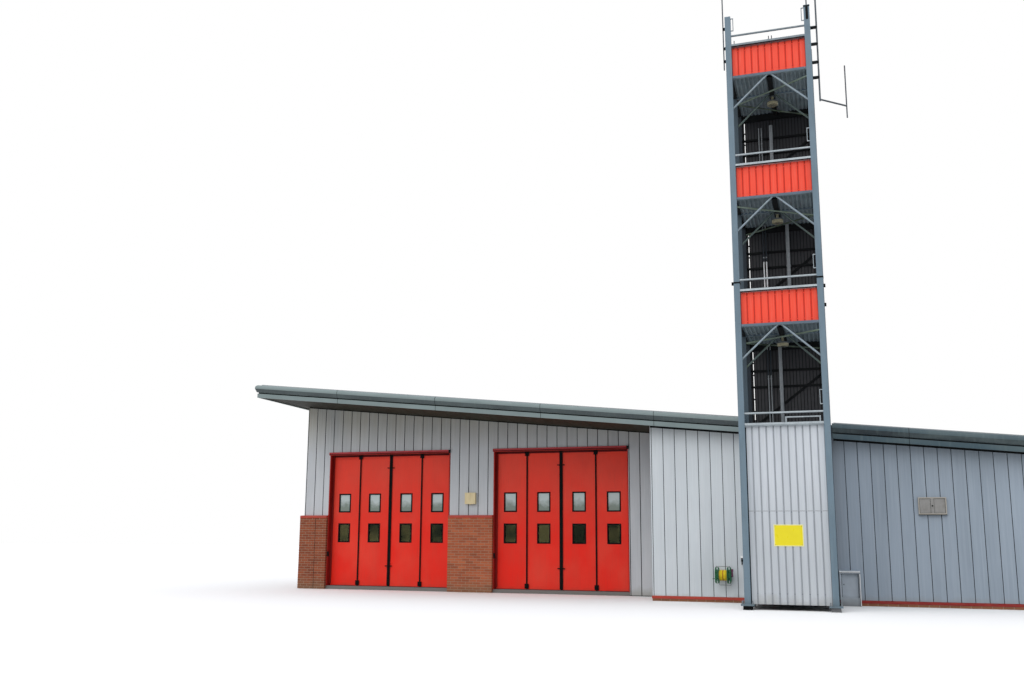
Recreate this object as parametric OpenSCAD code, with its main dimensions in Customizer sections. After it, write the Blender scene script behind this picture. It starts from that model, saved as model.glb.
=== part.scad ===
// Two-bay fire station with a monopitch roof, a lower wing and a steel drill tower.
// The origin is on the ground, under the corner where the wing front meets the step back
// to the bay front. +X runs along the front, +Y into the building and +Z up.

/* [Building] */
// Length of the bay front, from its left corner to the step
bay_l = 11160; // [10900:10:13000]
// Length of the wing front, from the step to its right corner
wing_l = 11160; // [7000:10:14000]
// Depth of the wing, from its front to the back wall
build_d = 13500; // [9000:50:18000]
// How far the bay front stands behind the wing front
step_d = 1900; // [1000:10:3000]
// Thickness of the insulated clad walls
wall_t = 250; // [150:5:350]
// Height of the floor above the ground
floor_h = 100; // [60:5:200]

/* [Doors] */
// Width of each doorway in the wall
door_w = 4000; // [3300:10:4100]
// Height of each doorway above the floor
door_h = 4000; // [3300:10:4000]
// Width of the wall between the two doorways
door_gap = 1375; // [800:5:1500]
// Width of the wall between the second doorway and the step
door_end = 975; // [500:5:1500]
// Thickness of the steel lining round a doorway
lining_t = 30; // [15:1:50]
// How far the leaves stand behind the wall face
leaf_recess = 180; // [100:5:200]
// Thickness of a folding leaf
leaf_t = 50; // [40:1:70]
// Width of each outer leaf
outer_leaf_w = 925; // [800:5:950]
// Gap between two leaves, filled by a rubber gasket
fold_gap = 24; // [12:1:40]
// Gap at the meeting line of the two pairs of leaves
meeting_gap = 70; // [40:1:110]
// Width of the rubber frame round a leaf window
window_w = 400; // [300:5:450]
// Height of the rubber frame round a leaf window
window_h = 570; // [400:5:650]
// Height of the middle of the lower windows above the floor
window_low_z = 1582; // [1300:1:1700]
// Height of the middle of the upper windows above the floor
window_high_z = 2483; // [2300:1:2800]
// How far the outer leaves' windows stand outwards from the middle of their leaf
window_out = 36; // [0:1:60]
// Width of the rubber round the glass
window_rubber = 38; // [20:1:60]

/* [Brickwork] */
// Height of the brick plinth above the floor
plinth_h = 2045; // [1500:5:2400]
// How far the brickwork stands in front of the cladding
plinth_d = 100; // [60:5:105]
// Height of the folded drip trim on the brickwork
drip_h = 62; // [40:1:100]
// How far the drip trim stands in front of what is below it
drip_out = 15; // [5:1:30]

/* [Roof] */
// Height of the roof's top edge above the step corner
roof_z0 = 4795; // [4500:5:5600]
// Fall of the roof for each millimetre of length
roof_fall = 0.1008; // [0.05:0.0001:0.11]
// Thickness of the insulated roof sheets
deck_t = 100; // [60:5:120]
// Full depth of the fascia
fascia_h = 375; // [300:5:500]
// Depth of the upper band of the fascia
fascia_top_h = 215; // [180:5:240]
// Depth of the upper band's nose, below which its face turns back under
nose_h = 115; // [110:1:125]
// Height of the groove between the two bands
groove_h = 40; // [20:1:50]
// How far the upper band stands in front of the lower band
fascia_step = 60; // [30:5:80]
// Thickness of the lower band of the fascia
fascia_t = 40; // [20:1:60]
// Radius of the fascia's top edge
edge_r = 85; // [20:1:110]
// How far the roof stands out past the wing front and the back wall
eaves_d = 500; // [350:5:800]
// How far the roof stands out past the end walls
verge_d = 475; // [300:5:800]
// Thickness of the soffit boards
soffit_t = 20; // [12:1:30]
// How far the soffit lies above the bottom of the fascia
soffit_up = 40; // [10:1:80]

/* [Tower] */
// Left side of the tower
tower_x = 2490; // [1500:10:6000]
// Width of the tower over its columns
tower_w = 2010; // [1700:10:2600]
// How far the tower's front stands in front of the wing
tower_out = 2500; // [2200:10:3000]
// Depth of the tower over its columns
tower_d = 2450; // [2000:10:2450]
// Side of the square columns
column_s = 138; // [100:1:200]
// Side of the middle posts on the tower's sides
post_s = 100; // [70:1:120]
// Height of the lowest platform above the ground
first_floor_z = 3320; // [3000:10:3500]
// Height from the lowest platform to the next one
first_storey_h = 3160; // [2800:10:3500]
// Height of the storeys above it
storey_h = 3100; // [2800:10:3500]
// How far the columns rise above the top platform
column_over = 1583; // [1200:1:1900]
// Height of the infill panels above their platform
panel_h = 770; // [600:5:800]
// Height of the square capping rail above its platform
cap_z = 840; // [830:5:950]
// Height of the handrail above its platform
rail_h = 1090; // [1000:5:1200]
// Outer diameter of the handrail tube
rail_d = 48; // [30:1:60]
// Depth of the platforms' edge beams
beam_h = 60; // [50:1:140]
// Width of the platforms' edge beams
beam_w = 70; // [50:1:100]
// Depth of the joist in the middle of a platform
joist_h = 100; // [80:1:160]
// Width of the joist
joist_w = 110; // [60:1:120]
// Depth of the ribbed platform decking
platform_t = 40; // [30:1:60]
// Distance between the ribs of the platform decking
deck_rib_pitch = 100; // [80:1:150]
// Outer diameter of the knee braces
brace_d = 45; // [35:1:60]
// How far the knee braces drop below the platform beams
brace_drop = 790; // [500:5:1000]

/* [Profiled sheet] */
// Distance between the ribs of the profiled sheet
rib_pitch = 160; // [130:1:200]
// Depth of the ribs
rib_h = 30; // [15:1:45]
// Width of the flat crown of a rib
rib_crown = 112; // [50:1:120]
// Thickness of the sheet between the ribs
sheet_t = 12; // [6:1:20]

/* [Fittings] */
// Diameter of the dry riser pipe in the tower
riser_d = 90; // [80:1:120]
// Height of the tower's left aerial above the columns
whip_over = 900; // [300:10:2000]
// Height of the tower's mast above the columns
mast_over = 700; // [300:10:2000]
// Outer diameter of the mast
mast_d = 40; // [25:1:60]
// Width of the notice plate on the tower
plate_w = 640; // [400:5:800]
// Height of the notice plate on the tower
plate_h = 480; // [300:5:600]
// Width of the louvred cabinet on the wing
cabinet_w = 620; // [400:5:800]
// Height of the louvred cabinet on the wing
cabinet_h = 400; // [300:5:600]
// Diameter of the side discs of the hose reel
reel_d = 400; // [250:5:450]

/* [Hidden] */
$fn = 24;
// Overlap used where one cut has to pass right through a surface
cut = 10;
// Clearance between neighbouring boards that are separate pieces
joint = 2;
// Clearance of what closes or passes through another piece
fit = 0.3;

bay_x0 = -bay_l;
wing_x1 = wing_l;
back_y = build_d;
door_z1 = floor_h + door_h;
// Running gap at the edges of the folding leaves
leaf_gap = 8;
door_2_x = -door_end - door_w;
door_1_x = door_2_x - door_gap - door_w;
roof_x0 = bay_x0 - verge_d;
roof_x1 = wing_x1 + verge_d;
roof_y0 = -eaves_d;
roof_y1 = back_y + eaves_d;
// Thickness of the fascia over both of its bands
band_t = fascia_t + fascia_step;
// Slope of the roof in degrees
roof_angle = atan(roof_fall);

tower_x1 = tower_x + tower_w;
tower_y0 = -tower_out;
tower_y1 = tower_y0 + tower_d;
tower_mid_x = tower_x + tower_w / 2;
tower_mid_y = (tower_y0 + tower_y1) / 2;
inner_w = tower_w - 2 * column_s;
inner_d = tower_d - 2 * column_s;
top_floor_z = first_floor_z + first_storey_h + 2 * storey_h;
column_z = top_floor_z + column_over;
// Height of the gap under the tower's lower cladding
cladding_z0 = 126;

plinth_z = floor_h + plinth_h;
// Level of the bottom of the wing's drip trim, on its low brick course
base_h = floor_h - 37;
// How far the low brick course stands in front of the cladding's face
base_out = 12;
foot_h = 70;
// Thickness of the trim's upper edge, lapped by the cladding
sheet_lap = 4;

// How far the lining's front edge stands in front of the wall
lining_lip = 12;
// The head flashing: how far it runs past the doorway, stands out and reaches down
head_over = 12;
head_out = 60;
head_down = 60;

leaf_z0 = floor_h + 14;
leaf_z1 = door_z1 - lining_t - leaf_gap;
// Distance from the middle of the doorway to a fold between leaves
fold_x = door_w / 2 - lining_t - leaf_gap - outer_leaf_w - fold_gap / 2;
inner_leaf_w = fold_x - (fold_gap + meeting_gap) / 2;
glass_t = 12;
pane_w = window_w - 2 * window_rubber;
pane_h = window_h - 2 * window_rubber;
// How far a window's rubber laps onto the leaf and stands out from it
rubber_lip = 12;
rubber_out = 8;
// Covers of the guide and hinge near the ends of a fold, and how far in they start
hinge_w = 90;
hinge_h = 130;
hinge_t = 22;
hinge_end = 15;
// Plates beside the meeting line: their heights above the floor and their size
keep_z = [700, 3420];
keep_w = 55;
keep_h = 24;
keep_t = 12;

// How far the upper band turns back under its nose, and how deep the groove is
nose_under = 0.7 * fascia_step;
groove_d = 0.6 * fascia_t;

// How far the tower's rails, edge beams and side sheets stand behind the face of its columns
frame_set = 10;
// How far the side sheets' backs and the frame behind them stand in
side_set = frame_set + rib_h;
// Gap between the tower and the edges of the roof that stop at it
notch_gap = 22;
// Heights and depth of the brackets between the rear columns and the wing front
tie_z = [1500, 3500];
tie_h = 90;
// Foot of a front column: the packing on the ground and the base plate on it
packing_w = 196;
packing_h = 90;
base_plate_w = 290;
base_plate_t = 34;

// The riser and the two conduits stand in front of the tower's rear wall
riser_x = tower_mid_x - 120;
riser_y = tower_y1 - column_s - riser_d / 2 - 40;
riser_top = top_floor_z - 450;
// Sideways step of the riser in the second storey, and how far its bends lie above a platform
riser_step = 300;
riser_bend = 300;
conduit_d = 28;
conduit_x = [tower_x + 573, tower_x + 640];
conduit_y = tower_y1 - beam_w - 60;

// Slit in the tower's rear wall, measured from its left side, and the ties across it
slit_x = 186;
slit_w = 32;
slit_tie_pitch = 310;
slit_tie_h = 40;
slit_tie_t = 8;
rear_sheet_z0 = first_floor_z + panel_h;
rear_sheet_h = top_floor_z + panel_h - rear_sheet_z0;
girt_w = 50;
// Thickness of the decking between its ribs, and the width of a rib
deck_sheet_t = 14;
deck_rib_w = 56;
// Depth of the beam at the back of a platform
rear_beam_h = 200;
// Drop of the two girts and of the rear diagonal's ends below the platform above them
girt_down = [1160, 750];
diagonal_down = [2250, 840];
// Distance of the front braces from the tower's middle, where they meet the beam
brace_apex = 57;
// Tubes in plan: their size and how far they lie below their platform
plan_brace_d = 40;
plan_brace_down = 220;
// Section of the capping rail
cap_h = 48;
cap_d = 50;
// Grab handles: length, tube, stand-off, height above a platform and drop below the column top
handle_h = 340;
handle_d = 18;
handle_out = 55;
handle_up = 1400;
handle_top = 200;
// Frame on the capping rail of the lowest opening: width, height, tube and gap from the column
low_frame_w = 774;
low_frame_h = 115;
low_frame_d = 32;
low_frame_in = 58;
// Lamps: the drum, its chamfer, its stem and the depth of its middle below the front beam
lamp_d = 265;
lamp_h = 95;
lamp_edge = 12;
lamp_stem_d = 60;
lamp_down = 235;
// Mast beside the tower: its gap, its foot below the top platform and its brackets' heights
mast_gap = 140;
mast_foot = 900;
mast_brackets = [-300, 90, 560, 990];
// Arm at the mast's foot, and the short aerial at its end: drop and length
mast_arm = [600, 560, 0];
arm_aerial_drop = 260;
arm_aerial_l = 1340;
// Left aerial: its gap, its foot above the top platform, its brackets' heights and its tube
whip_gap = 50;
whip_foot = 210;
whip_brackets = [430, 770, 1290];
whip_d = 30;

// Sounder box: size, depth of its cover, lap of the cover, cable gland and height above the floor
alarm_w = 315;
alarm_h = 318;
alarm_d = 120;
lid_d = 30;
lid_lap = 6;
gland_d = 30;
alarm_z = 2429;
// Housing on the wing: place, height above the floor, depth, rim and middle bar
cabinet_x = 6377;
cabinet_z = 2050;
cabinet_d = 90;
cabinet_rim = 28;
cabinet_bar = 70;
cabinet_lock_d = 32;
cabinet_lock_t = 8;
// Notice plate: place on the tower, height above the floor and thickness
plate_x = 683;
plate_z = 1294;
plate_t = 4;
// Inlet cupboard: its gap from the tower, size, side, hood, foot and how far the door is set back
inlet_gap = 20;
inlet_w = 470;
inlet_h = 830;
inlet_d = 220;
inlet_side = 40;
inlet_hood = 75;
inlet_foot = 190;
inlet_set = 90;
// Hose reel: distance of its middle from the tower, height above the floor and width over both
// discs, which are hollow drums with the wound hose between them
reel_from_tower = 700;
reel_z = 570;
reel_w = 375;
reel_disc_t = 85;
reel_hose_d = 266;
reel_plate = 12;
reel_arm_h = 60;
reel_out = reel_d / 2 + reel_plate;
// Tap: distance from the tower, height above the floor, its box, its body and its spout
tap_from_tower = 250;
tap_z = 988;
tap_w = 60;
tap_box_h = 53;
tap_box_d = 45;
tap_body_h = 84;
tap_body_w = 44;
tap_spout_d = 26;
tap_spout_h = 78;

// Height of the roof's top surface at a place along the front
function roof_top(x) = roof_z0 - roof_fall * x;
// Level of the platform with number n, from 1
function platform_z(n) = n == 1 ? first_floor_z : first_floor_z + first_storey_h + (n - 2) * storey_h;

// Slab between two heights measured from the sloping roof surface
module band(x0, x1, y0, y1, lo, hi) {
    translate([0, y1, 0])
        rotate([90, 0, 0])
            linear_extrude(y1 - y0)
                polygon([
                    [x0, roof_top(x0) + lo], [x1, roof_top(x1) + lo],
                    [x1, roof_top(x1) + hi], [x0, roof_top(x0) + hi]
                ]);
}

// Upright wall from a level base up to the underside of the roof sheets
module raked_wall(x0, x1, y0, y1, base) {
    translate([0, y1, 0])
        rotate([90, 0, 0])
            linear_extrude(y1 - y0)
                polygon([
                    [x0, base], [x1, base],
                    [x1, roof_top(x1) - deck_t], [x0, roof_top(x0) - deck_t]
                ]);
}

// Box given by its low and high corners
module block(lo, hi) {
    translate(lo) cube(hi - lo);
}

// Round bar between two points
module bar(a, b, d) {
    v = b - a;
    h = norm(v);
    translate(a)
        rotate([0, acos(v.z / h), atan2(v.y, v.x)])
            cylinder(h = h, d = d, $fn = 16);
}

// Profiled sheet in the XY plane: ribs stand out towards -Y and run up Z
module profiled_sheet(w, h) {
    n = max(1, floor((w - rib_crown) / rib_pitch) + 1);
    start = (w - (n - 1) * rib_pitch) / 2;
    flank = (rib_pitch - rib_crown) / 4;
    half = rib_crown / 2;
    front = [
        for (i = [0 : n - 1])
            each [
                [max(0, start + i * rib_pitch - half - flank), -sheet_t],
                [start + i * rib_pitch - half, -rib_h],
                [start + i * rib_pitch + half, -rib_h],
                [min(w, start + i * rib_pitch + half + flank), -sheet_t]
            ]
    ];
    linear_extrude(h)
        polygon(concat([[0, 0]], [[0, -sheet_t]], front, [[w, -sheet_t]], [[w, 0]]));
}

module floor_slab() {
    color("#8f8d88") {
        block([bay_x0 + wall_t, step_d + wall_t, 0], [wing_x1 - wall_t, back_y - wall_t, floor_h]);
        block([wall_t, wall_t, 0], [wing_x1 - wall_t, step_d + wall_t, floor_h]);
        block([door_1_x, step_d, 0], [door_1_x + door_w, step_d + wall_t, floor_h]);
        block([door_2_x, step_d, 0], [door_2_x + door_w, step_d + wall_t, floor_h]);
    }
}

module bay_wall_piers() {
    color("#a9abad") {
        raked_wall(bay_x0, door_1_x, step_d, step_d + wall_t, 0);
        raked_wall(door_1_x + door_w, door_2_x, step_d, step_d + wall_t, 0);
        raked_wall(door_2_x + door_w, 0, step_d, step_d + wall_t, 0);
    }
}

module bay_wall_over_doors() {
    color("#a9abad") {
        raked_wall(door_1_x, door_1_x + door_w, step_d, step_d + wall_t, door_z1);
        raked_wall(door_2_x, door_2_x + door_w, step_d, step_d + wall_t, door_z1);
    }
}

module step_return_wall() {
    color("#c9ccd4")
        raked_wall(0, wall_t, wall_t, step_d + wall_t, base_h);
}

module wing_front_wall() {
    color("#c9ccd4")
        raked_wall(0, wing_x1, 0, wall_t, base_h);
}

module left_end_wall() {
    color("#c9ccd4")
        raked_wall(bay_x0, bay_x0 + wall_t, step_d + wall_t, back_y - wall_t, 0);
}

module right_end_wall() {
    color("#c9ccd4")
        raked_wall(wing_x1 - wall_t, wing_x1, wall_t, back_y - wall_t, base_h);
}

module back_wall() {
    color("#c9ccd4") {
        raked_wall(bay_x0, 0, back_y - wall_t, back_y, 0);
        raked_wall(0, wing_x1, back_y - wall_t, back_y, base_h);
    }
}

module brick_piers() {
    color("#9a5a45") {
        block([bay_x0 - plinth_d, step_d - plinth_d, 0], [door_1_x, step_d, plinth_z]);
        block([door_1_x + door_w, step_d - plinth_d, 0], [door_2_x, step_d, plinth_z]);
    }
}

module brick_plinth_left_end() {
    color("#9a5a45")
        block([bay_x0 - plinth_d, step_d, 0], [bay_x0, back_y + plinth_d, plinth_z]);
}

module brick_plinth_back() {
    color("#9a5a45")
        block([bay_x0, back_y, 0], [0, back_y + plinth_d, plinth_z]);
}

module brick_base_course() {
    right_x = wing_x1 + base_out;
    color("#9a5a45") {
        block([-base_out, -base_out, 0], [right_x, wall_t, base_h]);
        block([-base_out, wall_t, 0], [0, step_d, base_h]);
        block([0, wall_t, 0], [wall_t, step_d + wall_t, base_h]);
        block([wing_x1 - wall_t, wall_t, 0], [right_x, back_y - wall_t, base_h]);
        block([0, back_y - wall_t, 0], [right_x, back_y + base_out, base_h]);
    }
}

// Folded trim over the plinth, drawn along +X with the wall on its +Y side
module plinth_trim(length) {
    front = -plinth_d - drip_out;
    rotate([90, 0, 90])
        linear_extrude(length)
            polygon([
                [0, 0], [0, drip_h], [-drip_out, drip_h], [front, drip_h - drip_out],
                [front, -drip_out], [-plinth_d, -drip_out], [-plinth_d, 0]
            ]);
}

module plinth_flashing() {
    color("#c23a36") {
        left = bay_x0 - plinth_d;
        translate([left, step_d, plinth_z]) plinth_trim(door_1_x - left);
        translate([door_1_x + door_w, step_d, plinth_z]) plinth_trim(door_gap);
        translate([bay_x0, back_y + plinth_d, plinth_z])
            rotate([0, 0, -90]) plinth_trim(back_y + plinth_d - step_d - joint);
        translate([0, back_y, plinth_z]) rotate([0, 0, 180]) plinth_trim(bay_l - joint);
    }
}

// Drip trim at the foot of the cladding, drawn along +X with the wall on its +Y side
module foot_trim(length) {
    rotate([90, 0, 90])
        linear_extrude(length)
            polygon([
                [0, 0], [0, foot_h], [-sheet_lap, foot_h], [-2 * drip_out, foot_h - drip_out],
                [-2 * drip_out, 0]
            ]);
}

module wing_drip_trim() {
    color("#c23a36") {
        translate([0, 0, base_h]) foot_trim(tower_x + column_s - drip_out);
        translate([tower_x1 - column_s + drip_out, 0, base_h])
            foot_trim(wing_x1 - tower_x1 + column_s - drip_out);
        translate([0, step_d - plinth_d, base_h])
            rotate([0, 0, -90]) foot_trim(step_d - plinth_d);
        translate([wing_x1, 0, base_h]) rotate([0, 0, 90]) foot_trim(back_y);
        translate([wing_x1, back_y, base_h]) rotate([0, 0, 180]) foot_trim(wing_l - joint);
    }
}

// Steel lining and projecting head flashing of the doorway whose left side is at x
module door_surround(x) {
    color("#d8352b")
        translate([x, step_d, 0]) {
            block([0, -lining_lip, floor_h], [lining_t, wall_t, door_z1]);
            block([door_w - lining_t, -lining_lip, floor_h], [door_w, wall_t, door_z1]);
            block([0, -lining_lip, door_z1 - lining_t], [door_w, wall_t, door_z1]);
            block([-head_over, -head_out, door_z1 - head_down], [door_w + head_over, 0, door_z1 + lining_t]);
        }
}

// Places its children at the middle of each leaf, with $leaf_w as the leaf's width, $side as
// the side of the doorway and $outer telling the outer leaves from the inner ones
module each_leaf(x) {
    for ($side = [-1, 1]) {
        for ($outer = [false, true]) {
            $leaf_w = $outer ? outer_leaf_w : inner_leaf_w;
            from_mid = ($outer ? fold_x + fold_gap / 2 : meeting_gap / 2) + $leaf_w / 2;
            translate([x + door_w / 2 + $side * from_mid, step_d + leaf_recess, 0]) children();
        }
    }
}

// Places its children at the middle of each window of a doorway's leaves
module each_window(x) {
    each_leaf(x)
        for (z = [window_low_z, window_high_z])
            translate([$outer ? $side * window_out : 0, 0, floor_h + z]) children();
}

// Keep plates of the meeting line, two on each inner leaf
module keep_plates() {
    if (!$outer)
        for (z = keep_z)
            translate([-$side * ($leaf_w - keep_w) / 2, -keep_t / 2, floor_h + z])
                cube([keep_w, keep_t + cut, keep_h], center = true);
}

module door_leaves(x) {
    color("#d8352b")
        difference() {
            each_leaf(x) {
                block([-$leaf_w / 2, 0, leaf_z0], [$leaf_w / 2, leaf_t, leaf_z1]);
                keep_plates();
            }
            each_window(x)
                block(
                    [-window_w / 2 + rubber_lip, -cut, -window_h / 2 + rubber_lip],
                    [window_w / 2 - rubber_lip, leaf_t + cut, window_h / 2 - rubber_lip]
                );
        }
}

module door_glazing() {
    color("#56646a", 0.5)
        for (x = [door_1_x, door_2_x])
            each_window(x)
                block(
                    [-pane_w / 2, (leaf_t - glass_t) / 2, -pane_h / 2],
                    [pane_w / 2, (leaf_t + glass_t) / 2, pane_h / 2]
                );
}

// Rubber round one window: a web through the leaf and a lip on each of its faces
module window_rubber() {
    web_w = window_w - 2 * rubber_lip;
    web_h = window_h - 2 * rubber_lip;
    difference() {
        union() {
            for (y = [-rubber_out, leaf_t])
                block([-window_w / 2, y, -window_h / 2], [window_w / 2, y + rubber_out, window_h / 2]);
            block([-web_w / 2, -rubber_out, -web_h / 2], [web_w / 2, leaf_t + rubber_out, web_h / 2]);
        }
        block(
            [-pane_w / 2, -rubber_out - cut, -pane_h / 2],
            [pane_w / 2, leaf_t + rubber_out + cut, pane_h / 2]
        );
    }
}

module window_rubbers() {
    color("#1d1d1f")
        for (x = [door_1_x, door_2_x])
            each_window(x) window_rubber();
}

// Rubber of one doorway: fold and meeting gaskets, edge seals, foot brush and hinge covers
module doorway_seals() {
    edge_x = door_w / 2 - lining_t;
    for (side = [-1, 1]) {
        block([side * fold_x - fold_gap / 2, 0, leaf_z0], [side * fold_x + fold_gap / 2, leaf_t, leaf_z1]);
        for (z = [leaf_z0 + hinge_end, leaf_z1 - hinge_end - hinge_h])
            block([side * fold_x - hinge_w / 2, -hinge_t, z], [side * fold_x + hinge_w / 2, 0, z + hinge_h]);
        mirror([side < 0 ? 1 : 0, 0, 0]) {
            block([edge_x - leaf_gap, 0, floor_h], [edge_x, leaf_t, leaf_z1 + leaf_gap]);
            block([fit / 2, 0, leaf_z0], [meeting_gap / 2, leaf_t, leaf_z1]);
            block([fit / 2, 0, leaf_z1], [edge_x - leaf_gap, leaf_t, leaf_z1 + leaf_gap]);
            block([fit / 2, 0, floor_h], [edge_x - leaf_gap, leaf_t, leaf_z0]);
        }
    }
}

module door_seals() {
    color("#1d1d1f")
        for (x = [door_1_x, door_2_x])
            translate([x + door_w / 2, step_d + leaf_recess, 0]) doorway_seals();
}

// Gap left round the tower where the roof edge passes it
module tower_notch() {
    block([tower_x - notch_gap, roof_y0 - cut, 0], [tower_x1 + notch_gap, 0, roof_z0 + cut]);
}

module roof_deck() {
    color("#8b9499")
        difference() {
            band(roof_x0 + band_t, roof_x1 - band_t, roof_y0 + band_t, roof_y1 - band_t, -deck_t, 0);
            tower_notch();
        }
}

// What the rounded top edge and the turned-back nose take off a fascia, drawn with the edge at
// the origin and the body on its +X and -Y sides
module edge_waste() {
    past = [nose_under, -fascia_top_h] + [nose_under, nose_h - fascia_top_h] / 10;
    difference() {
        translate([-cut, -edge_r]) square(edge_r + cut);
        translate([edge_r, -edge_r]) circle(r = edge_r, $fn = 48);
    }
    polygon([[-cut, -nose_h], [0, -nose_h], past, [-cut, past.y]]);
}

// Waste of the sloping top edge of the front fascia, whose face is at y
module long_edge_waste(y) {
    translate([0, y, roof_z0])
        rotate([0, roof_angle, 0])
            translate([roof_x0 - verge_d, 0, 0])
                rotate([90, 0, 90])
                    linear_extrude(roof_x1 - roof_x0 + 2 * verge_d) edge_waste();
}

// Waste of the level edges of a verge, whose face is at x and looks to the given side
module verge_edge_waste(x, side) {
    centre_x = x - side * edge_r;
    centre_z = roof_top(centre_x) - edge_r / cos(roof_angle);
    touch_x = centre_x + edge_r * sin(roof_angle);
    touch_z = centre_z + edge_r * cos(roof_angle);
    over_z = roof_top(min(x, touch_x)) + 2 * cut;
    past_x = x - side * nose_under * 1.1;
    past_z = roof_top(x) - nose_h - (fascia_top_h - nose_h) * 1.1;
    translate([0, roof_y1 + cut, 0])
        rotate([90, 0, 0])
            linear_extrude(roof_y1 - roof_y0 + 2 * cut) {
                difference() {
                    polygon([
                        [centre_x, centre_z], [x + side * cut, centre_z],
                        [x + side * cut, over_z], [touch_x, over_z], [touch_x, touch_z]
                    ]);
                    translate([centre_x, centre_z]) circle(r = edge_r, $fn = 48);
                }
                polygon([
                    [x + side * cut, roof_top(x) - nose_h], [x, roof_top(x) - nose_h],
                    [past_x, past_z], [x + side * cut, past_z]
                ]);
            }
}

// Part of the ring between two depths below the roof's top, set back from the roof's edge
module fascia_band(set_back, lo, hi) {
    band(roof_x0 + set_back, roof_x1 - set_back, roof_y0 + set_back, roof_y1 - set_back, lo, hi);
}

// Fascia round the whole roof, hollow inside: rounded nose, groove and lower band
module fascia_ring() {
    difference() {
        union() {
            fascia_band(0, -fascia_top_h, 0);
            fascia_band(fascia_step + groove_d, -fascia_top_h - groove_h - cut, -fascia_top_h + cut);
            fascia_band(fascia_step, -fascia_h, -fascia_top_h - groove_h);
        }
        fascia_band(band_t, -fascia_h - cut, cut);
        long_edge_waste(roof_y0);
        translate([0, roof_y0 + roof_y1, 0])
            mirror([0, 1, 0]) long_edge_waste(roof_y0);
        verge_edge_waste(roof_x0, -1);
        verge_edge_waste(roof_x1, 1);
    }
}

// One side of the ring: what stands over a shape of the plan
module fascia_side(plan) {
    color("#75858b")
        intersection() {
            fascia_ring();
            linear_extrude(2 * roof_z0) polygon(plan);
        }
}

module roof_fascia_front() {
    difference() {
        fascia_side([
            [roof_x0, roof_y0], [roof_x1, roof_y0],
            [roof_x1 - band_t, roof_y0 + band_t], [roof_x0 + band_t, roof_y0 + band_t]
        ]);
        tower_notch();
    }
}

module roof_fascia_back() {
    fascia_side([
        [roof_x0, roof_y1], [roof_x0 + band_t, roof_y1 - band_t],
        [roof_x1 - band_t, roof_y1 - band_t], [roof_x1, roof_y1]
    ]);
}

module roof_verge_left() {
    fascia_side([
        [roof_x0, roof_y0], [roof_x0 + band_t, roof_y0 + band_t],
        [roof_x0 + band_t, roof_y1 - band_t], [roof_x0, roof_y1]
    ]);
}

module roof_verge_right() {
    fascia_side([
        [roof_x1, roof_y0], [roof_x1, roof_y1],
        [roof_x1 - band_t, roof_y1 - band_t], [roof_x1 - band_t, roof_y0 + band_t]
    ]);
}

// Soffit board over a rectangle of the plan
module soffit(x0, x1, y0, y1) {
    color("#5f5450")
        band(x0, x1, y0, y1, soffit_up - fascia_h, soffit_up - fascia_h + soffit_t);
}

module soffit_canopy() {
    soffit(roof_x0 + band_t, 0, roof_y0 + band_t, step_d);
}

module soffit_wing() {
    difference() {
        soffit(joint, roof_x1 - band_t, roof_y0 + band_t, 0);
        tower_notch();
    }
}

module soffit_back() {
    soffit(bay_x0 + joint, wing_x1 - joint, back_y, roof_y1 - band_t);
}

module soffit_ends() {
    soffit(roof_x0 + band_t, bay_x0, step_d + joint, roof_y1 - band_t);
    soffit(wing_x1, roof_x1 - band_t, joint, roof_y1 - band_t);
}

// Square column on its base plate and packing, with its low corner at the plan origin
module column() {
    plate = (base_plate_w - column_s) / 2;
    packing = (packing_w - column_s) / 2;
    translate([-packing, -packing, 0]) cube([packing_w, packing_w, packing_h]);
    translate([-plate, -plate, packing_h]) cube([base_plate_w, base_plate_w, base_plate_t]);
    foot_top = packing_h + base_plate_t;
    translate([0, 0, foot_top]) cube([column_s, column_s, column_z - foot_top]);
}

module tower_columns_front() {
    color("#70869a")
        for (x = [tower_x, tower_x1 - column_s])
            translate([x, tower_y0, 0]) column();
}

// Rear columns with the brackets that tie them to the wing front
module tower_columns_rear() {
    color("#70869a")
        for (x = [tower_x, tower_x1 - column_s])
            translate([x, tower_y1 - column_s, 0]) {
                cube([column_s, column_s, column_z]);
                for (z = tie_z)
                    translate([0, column_s, z]) cube([column_s, -tower_y1, tie_h]);
            }
}

// Runs its children on the left side of the tower and mirrored on its right side
module both_sides() {
    children();
    translate([2 * tower_mid_x, 0, 0]) mirror([1, 0, 0]) children();
}

module tower_side_posts() {
    color("#70869a")
        both_sides()
            for (n = [1 : 5])
                block(
                    [tower_x + side_set, tower_mid_y - post_s / 2, n == 1 ? 0 : platform_z(n - 1)],
                    [
                        tower_x + side_set + post_s, tower_mid_y + post_s / 2,
                        n == 5 ? platform_z(4) + rail_h : platform_z(n) - beam_h
                    ]
                );
}

// Section of the ribs under the decking, from the middle of the tower to both sides
module deck_ribs() {
    n = floor((inner_w / 2 - deck_rib_w) / deck_rib_pitch);
    drop = platform_t - deck_sheet_t;
    for (i = [-n : n])
        polygon([
            [i * deck_rib_pitch - deck_rib_w / 2, cut / 2],
            [i * deck_rib_pitch - deck_rib_w / 3, -drop],
            [i * deck_rib_pitch + deck_rib_w / 3, -drop],
            [i * deck_rib_pitch + deck_rib_w / 2, cut / 2]
        ]);
}

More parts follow.
